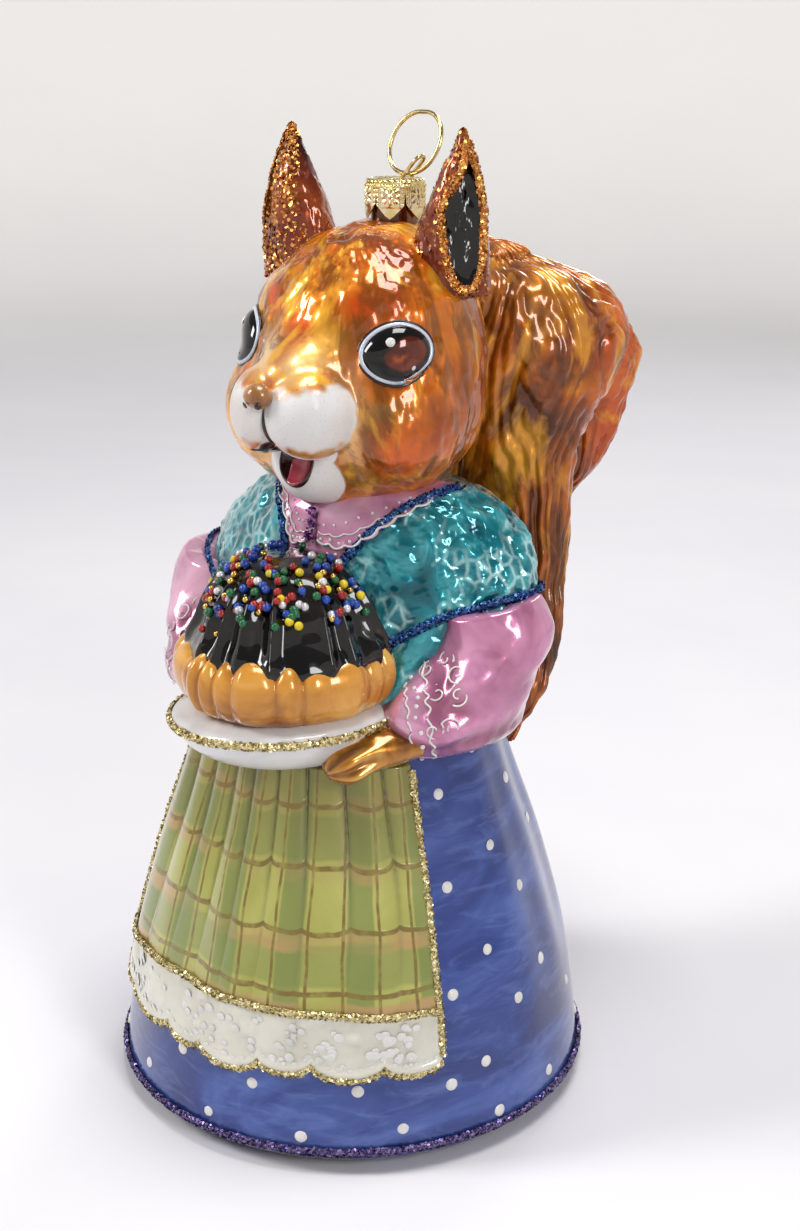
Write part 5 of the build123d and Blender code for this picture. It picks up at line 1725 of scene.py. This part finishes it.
def ear_side(points, outward, mirror, tag, heading, shift, strewn, random, red, black, copper):
    """One ear: a loft pressed in where it faces its heading, by the root of one less the square of
    the reach in a leaf shape; a lining laid in that hollow, a glitter line round it and flakes."""
    face = np.array([cos(radians(heading)), sin(radians(heading)), 0.0])
    side = np.array([-face[1], face[0], 0.0])
    flip = np.array([mirror, 1, 1])
    v = points[..., 2] - EAR_HEART[2]
    stem = ((points.mean(1) - EAR_HEART) @ side) - shift * (1 - ease(v[:, 0], 0, EAR_TALL))
    u = (points - EAR_HEART) @ side - stem[:, None]
    reach = np.sqrt((u / leaf(v)) ** 2 + (v / EAR_TALL) ** 2)
    facing = ease(outward @ face, 0.0, 0.35)
    dent = np.sqrt(np.clip(1 - reach ** 2, 0, 1) * facing)
    hollow = points - face * (2.2 * dent)[..., None]
    settle(closed_mesh("ear_" + tag, hollow * flip), red, ["ear_" + tag])
    near = facing > 0.15
    known = np.stack([u[near], v[near]], 1)
    depth = ((hollow - EAR_HEART) @ face)[near]

    def laid(share, turn, lift):
        flat_v = share * EAR_TALL * np.sin(turn)
        flat_u = share * leaf(flat_v) * np.cos(turn)
        ask = np.stack([flat_u.ravel(), flat_v.ravel()], 1)
        away = ((ask[:, None] - known[None]) ** 2).sum(-1)
        close = np.argpartition(away, 4, axis=1)[:, :4]
        found = depth[close].mean(1).reshape(flat_u.shape) + lift
        flat_u = flat_u + np.interp(flat_v, v.mean(1), stem)
        upward = np.array([0, 0, 1.0]) * flat_v[..., None]
        return EAR_HEART + side * flat_u[..., None] + upward + face * found[..., None]

    share = np.linspace(0.03, 1, 26)[:, None]
    grid = laid(share, np.linspace(0, 2 * pi, 72, endpoint=False)[None] + 0 * share, 0.18)
    disc = np.concatenate([grid, grid[-1:] - face * 1.2])
    settle(closed_mesh("ear_lining_" + tag, disc * flip), black, ["ear_lining_" + tag])
    ring = laid(np.full(90, 1.04), np.linspace(0, 2 * pi, 90, endpoint=False), 0.1)
    way = np.broadcast_to(face * flip, ring.shape)
    name = "ear_rim_glitter_" + tag
    glitter_line(name, ring * flip, way, 1.2, 0.6, copper, 22, 33 + mirror, name, True)
    front = np.argwhere((outward[..., 1] < 0.1) & (reach > 1.02))
    row, column = front[random.integers(0, len(front), strewn)].T
    spots, outs = points[row, column] * flip, outward[row, column] * flip
    settle(flakes_mesh("ear_flakes_" + tag, spots, outs, 0.3, 37 + mirror), copper[1])


def ear_pieces(looks):
    """Ears: closed lofts of level ovals with a soft relief, each hollowed and dressed."""
    red = lacquer(
        "ear_brown", tone(66, 16, 4), tone(132, 46, 12), tone(190, 92, 34), 90.0, (1, 1, 0.5),
        metallic=0.4, roughness=0.22, warp=1.2, bump=0.3,
    ).material
    black = lacquer(
        "lining_black", tone(4, 3, 3), tone(12, 9, 8), tone(30, 22, 18), 80.0, metallic=0.0,
        roughness=0.14, bump=0.05,
    ).material
    points, outward = oval_grid(EAR_ROWS, 200, 150, (1.0, 0.5))[:2]
    points = points + outward * (0.3 * layered(points * [1, 1, 0.5], 0.5, 210, 3))[..., None]
    random = np.random.default_rng(31)
    for (mirror, tag), (heading, shift, strewn) in zip(SIDES, EAR_HALVES):
        ear_side(
            points, outward, mirror, tag, heading, shift, strewn, random, red, black, looks["copper"]
        )


# Cap and ring

CROWN_BACK = 13.0
CAP_LOW, CAP_SHOULDER, CAP_TOP = 147.1, 152.7, 153.3
CAP_DISC_RADIUS, CAP_WALL_RADIUS, CAP_SHOULDER_ROUND = 4.2, 4.78, 0.62
RING_RADIUS, RING_WIRE_RADIUS = 5.1, 0.37


def cap_wall(around, petal):
    """Cap's side: its radius is the wall's plus a raised panel with a stem, a flower and beading on
    each petal, and it runs down to a pointed edge cut by slits."""
    tip = 2.5 * (np.abs(petal) * 2) ** 1.2
    slit = bell(np.abs(np.abs(petal) - 0.5), 0, 0.022)
    low = CAP_LOW + tip + 2.0 * slit
    height = CAP_SHOULDER + (low - CAP_SHOULDER) * np.linspace(0, 1, 60)[1:, None]
    panel = 1 - ease(np.abs(petal), 0.30, 0.37)
    boss = 0.14 * panel * ease(152.2 - height, 0, 0.5) * ease(height - 148.7, 0, 0.5)
    stem = 0.16 * bell(petal, 0, 0.045) * ease(151.6 - height, 0, 0.6) * ease(height - 149.2, 0, 0.6)
    bloom_x, bloom_z = petal * 5.1, height - 150.7
    bloom = np.hypot(bloom_x, bloom_z)
    turn = np.arctan2(bloom_x, bloom_z)
    flower = 0.24 * np.cos(turn * 4) ** 2 * bell(bloom, 1.0, 0.5) + 0.2 * bell(bloom, 0, 0.3)
    beading = 0.22 * bell(np.abs(petal), 0.43, 0.045) * np.abs(np.sin(height * 4.2))
    beading = beading + 0.18 * bell(height, 152.3, 0.3) * np.abs(np.sin(around * 27))
    flare = 0.2 * ease(150.2 - height, 0, 2.4)
    radius = CAP_WALL_RADIUS + boss + stem + flower + beading + flare
    return np.stack(np.broadcast_arrays(radius, height), -1)


def cap_top(around):
    """Cap's top and shoulder: a disc with a stamped rosette, then a crimped quarter round."""
    share = np.linspace(0, 1, 26)[:, None]
    rosette = 0.16 * np.cos(around * 6) * bell(share, 0.62, 0.2)
    rosette = rosette + 0.1 * np.cos(around * 12) * bell(share, 0.3, 0.12)
    height = CAP_TOP + 0.8 * rosette + 0.12 * bell(share, 0, 0.25)
    top = np.stack(np.broadcast_arrays(0.08 + CAP_DISC_RADIUS * share, height), -1)
    bend = np.linspace(0, pi / 2, 10)[1:, None]
    size = CAP_SHOULDER_ROUND + 0.14 * np.abs(np.sin(around * 12)) * np.sin(2 * bend)
    shoulder = np.stack([CAP_DISC_RADIUS + size * np.sin(bend), CAP_SHOULDER + size * np.cos(bend)], -1)
    return top, shoulder


def cap_piece():
    """Cap: radius and height run from the top's middle down the petals and back up inside them."""
    around = np.linspace(0, 2 * pi, 540, endpoint=False)[None]
    petal = (around / (2 * pi) * 6 + 0.1) % 1 - 0.5
    top, shoulder = cap_top(around)
    wall = cap_wall(around, petal)
    inner = np.concatenate([wall[::-1] - [0.3, 0], (top[::-1] * [0.97, 1]) - [0, 0.3]])
    inner[:, :, 0] = np.maximum(inner[:, :, 0], 0.05)
    radius, height = np.moveaxis(np.concatenate([top, shoulder, wall, inner]), -1, 0)
    points = np.stack([radius * np.sin(around), CROWN_BACK - radius * np.cos(around), height], -1)
    gold = lacquer(
        "cap_gold", tone(206, 178, 104), tone(240, 222, 164), tone(252, 244, 214), 240.0, metallic=1.0,
        roughness=0.26, coat=0.0, bump=0.35, grain=1300.0,
    )
    settle(closed_mesh("crown_cap", points), gold.material, ["crown_cap"], "crown")


def ring_piece(wire):
    """Hanging ring: a tube round a circle whose two halves stand apart along its level axis."""
    turn = np.linspace(0, 2 * pi, 120, endpoint=False)
    lean = np.array([0.0843, 0.3647, 0.9275])
    axis = np.array([0.97437, -0.22495, 0.0])
    middle = np.array([2.73, 14.66, 158.95])
    path = middle + RING_RADIUS * (axis * np.cos(turn)[:, None] + lean * np.sin(turn)[:, None])
    path = path + axis * (0.6 * ease(np.cos(turn), -0.12, 0.12) * 2 - 0.6)[:, None]
    guide = tuple(np.cross(axis, lean))
    ring = tube_mesh("hanging_ring", path, RING_WIRE_RADIUS, 14, True, guide)
    settle(ring, wire, ["hanging_ring"], "ring")


def crown_pieces():
    """Cap and hanging ring, and the looks of the staple and the blow pipe, whose solids stay."""
    cap_piece()
    wire = lacquer(
        "wire_gold", tone(184, 156, 96), tone(224, 202, 142), tone(246, 232, 190), 500.0, metallic=1.0,
        roughness=0.18, coat=0.0, bump=0.1,
    )
    amber = lacquer(
        "pipe_amber", tone(60, 26, 8), tone(120, 62, 22), tone(176, 110, 54), 150.0, metallic=0.5,
        roughness=0.12,
    )
    ring_piece(wire.material)
    for name, look in (("wire_staple", wire), ("blow_pipe", amber)):
        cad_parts[name].data.materials.clear()
        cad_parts[name].data.materials.append(look.material)


# Floor, lamps and camera

def floor_piece():
    """Floor: rings flat near the figure that sweep up far from it, where the paper glows a little
    for the camera and for reflections."""
    share = np.linspace(0, 1, 120)[:, None]
    around = np.linspace(0, 2 * pi, 96, endpoint=False)[None]
    run = 1.0 + 2199.0 * share ** 1.4
    rise = 1300.0 * np.clip((run - 900.0) / 1300.0, 0, 1) ** 2.2
    points = np.stack(np.broadcast_arrays(run * np.cos(around), run * np.sin(around), rise), -1)
    far = ease(np.broadcast_to(run, points.shape[:2]), 350.0, 1500.0)
    floor = make_mesh("floor", points, grid_faces(120, 96, True), {"far": far})
    look = Look("floor_paper", Roughness=0.75)
    paper = look.ramp(look.noise(9.0), (0.3, tone(226, 224, 228)), (0.7, tone(232, 230, 232)))
    glow = look.node("ShaderNodeMapRange", {"Value": look.shade("far"), "To Max": 0.56}).outputs[0]
    rays = look.node("ShaderNodeLightPath").outputs
    seen = look.math("ADD", rays["Is Camera Ray"], rays["Is Glossy Ray"])
    seen = look.math("MINIMUM", look.math("ADD", seen, rays["Is Transmission Ray"]), 1.0)
    warm = look.ramp(seen, (0.0, 0.0), (1.0, (1.0, 0.97, 0.9, 1)))
    look.feed(Base_Color=paper, Emission_Color=warm, Emission_Strength=glow)
    floor.data.materials.append(look.material)


LAMPS = [
    ("lamp_left", (-520, -420, 560), (180, 320), 3.7), ("lamp_right", (560, -240, 420), (130, 280), 1.7),
    ("lamp_top", (60, 40, 760), (280, 280), 3.0), ("lamp_back", (-120, 620, 420), (220, 160), 0.9),
]


def lamps():
    """Four soft lamps aimed at the figure's middle, and a faint grey world."""
    for name, place, size, power in LAMPS:
        data = bpy.data.lights.new(name, "AREA")
        data.shape = "RECTANGLE"
        data.size = size[0] * MM
        data.size_y = size[1] * MM
        data.energy = power
        lamp = bpy.data.objects.new(name, data)
        bpy.context.scene.collection.objects.link(lamp)
        lamp.location = Vector(place) * MM
        lamp.rotation_euler = (Vector((0, 0, 0.09)) - lamp.location).to_track_quat("-Z", "Y").to_euler()
    world = bpy.data.worlds.new("studio")
    bpy.context.scene.world = world
    world.use_nodes = True
    background = world.node_tree.nodes["Background"].inputs
    background["Color"].default_value = (0.93, 0.93, 0.95, 1)
    background["Strength"].default_value = 0.26


def camera():
    """Camera at the photograph's angle: turned round the figure, dipped, and rolled a trace."""
    turn, dip, roll = radians(34), 0.317, 0.004
    right = Vector((cos(turn), sin(turn), 0))
    ahead = Vector((-sin(turn), cos(turn), 0))
    view = ahead * cos(dip) - Vector((0, 0, 1)) * sin(dip)
    up = Vector((0, 0, 1)) * cos(dip) + ahead * sin(dip)
    first = right * cos(roll) + up * sin(roll)
    second = up * cos(roll) - right * sin(roll)
    data = bpy.data.cameras.new("camera")
    data.sensor_width = 36.0
    data.lens = 51.18
    data.clip_start = 0.01
    made = bpy.data.objects.new("camera", data)
    bpy.context.scene.collection.objects.link(made)
    matrix = Matrix((first, second, -view)).transposed().to_4x4()
    matrix.translation = (right * 8.32 - ahead * 282.7 + Vector((0, 0, 174.5))) * MM
    made.matrix_world = matrix
    bpy.context.scene.camera = made
    bpy.context.scene.view_settings.view_transform = "Standard"


GLITTERS = {
    "pale": ("glitter_gold", tone(166, 146, 76), tone(244, 232, 186)),
    "violet": ("glitter_violet", tone(36, 34, 92), tone(142, 122, 170)),
    "blue": ("glitter_blue", tone(10, 34, 86), tone(66, 112, 176)),
    "copper": ("glitter_copper", tone(176, 96, 40), tone(236, 176, 96)),
    "plum": ("glitter_plum", tone(96, 50, 120), tone(180, 130, 190)),
}
looks = {
    key: (glue(name + "_bed", main, other), glitter(name, main, other))
    for key, (name, main, other) in GLITTERS.items()
}
skirt_pieces()
apron_pieces()
lace_pieces()
looks["pearl"] = lace_dots()
glitter_lines(looks)
skirt_dots(looks["pearl"])
bodice_pieces(looks)
vest_lines(looks)
sleeve_pieces(looks)
paw_pieces()
plate_piece()
crust_piece()
glaze = glaze_piece()
plate_rim(looks["pale"])
bead_pieces(glaze)
tail_pieces()
head_piece()
face_pieces()
eye_pieces(looks)
ear_pieces(looks)
crown_pieces()
floor_piece()
lamps()
camera()
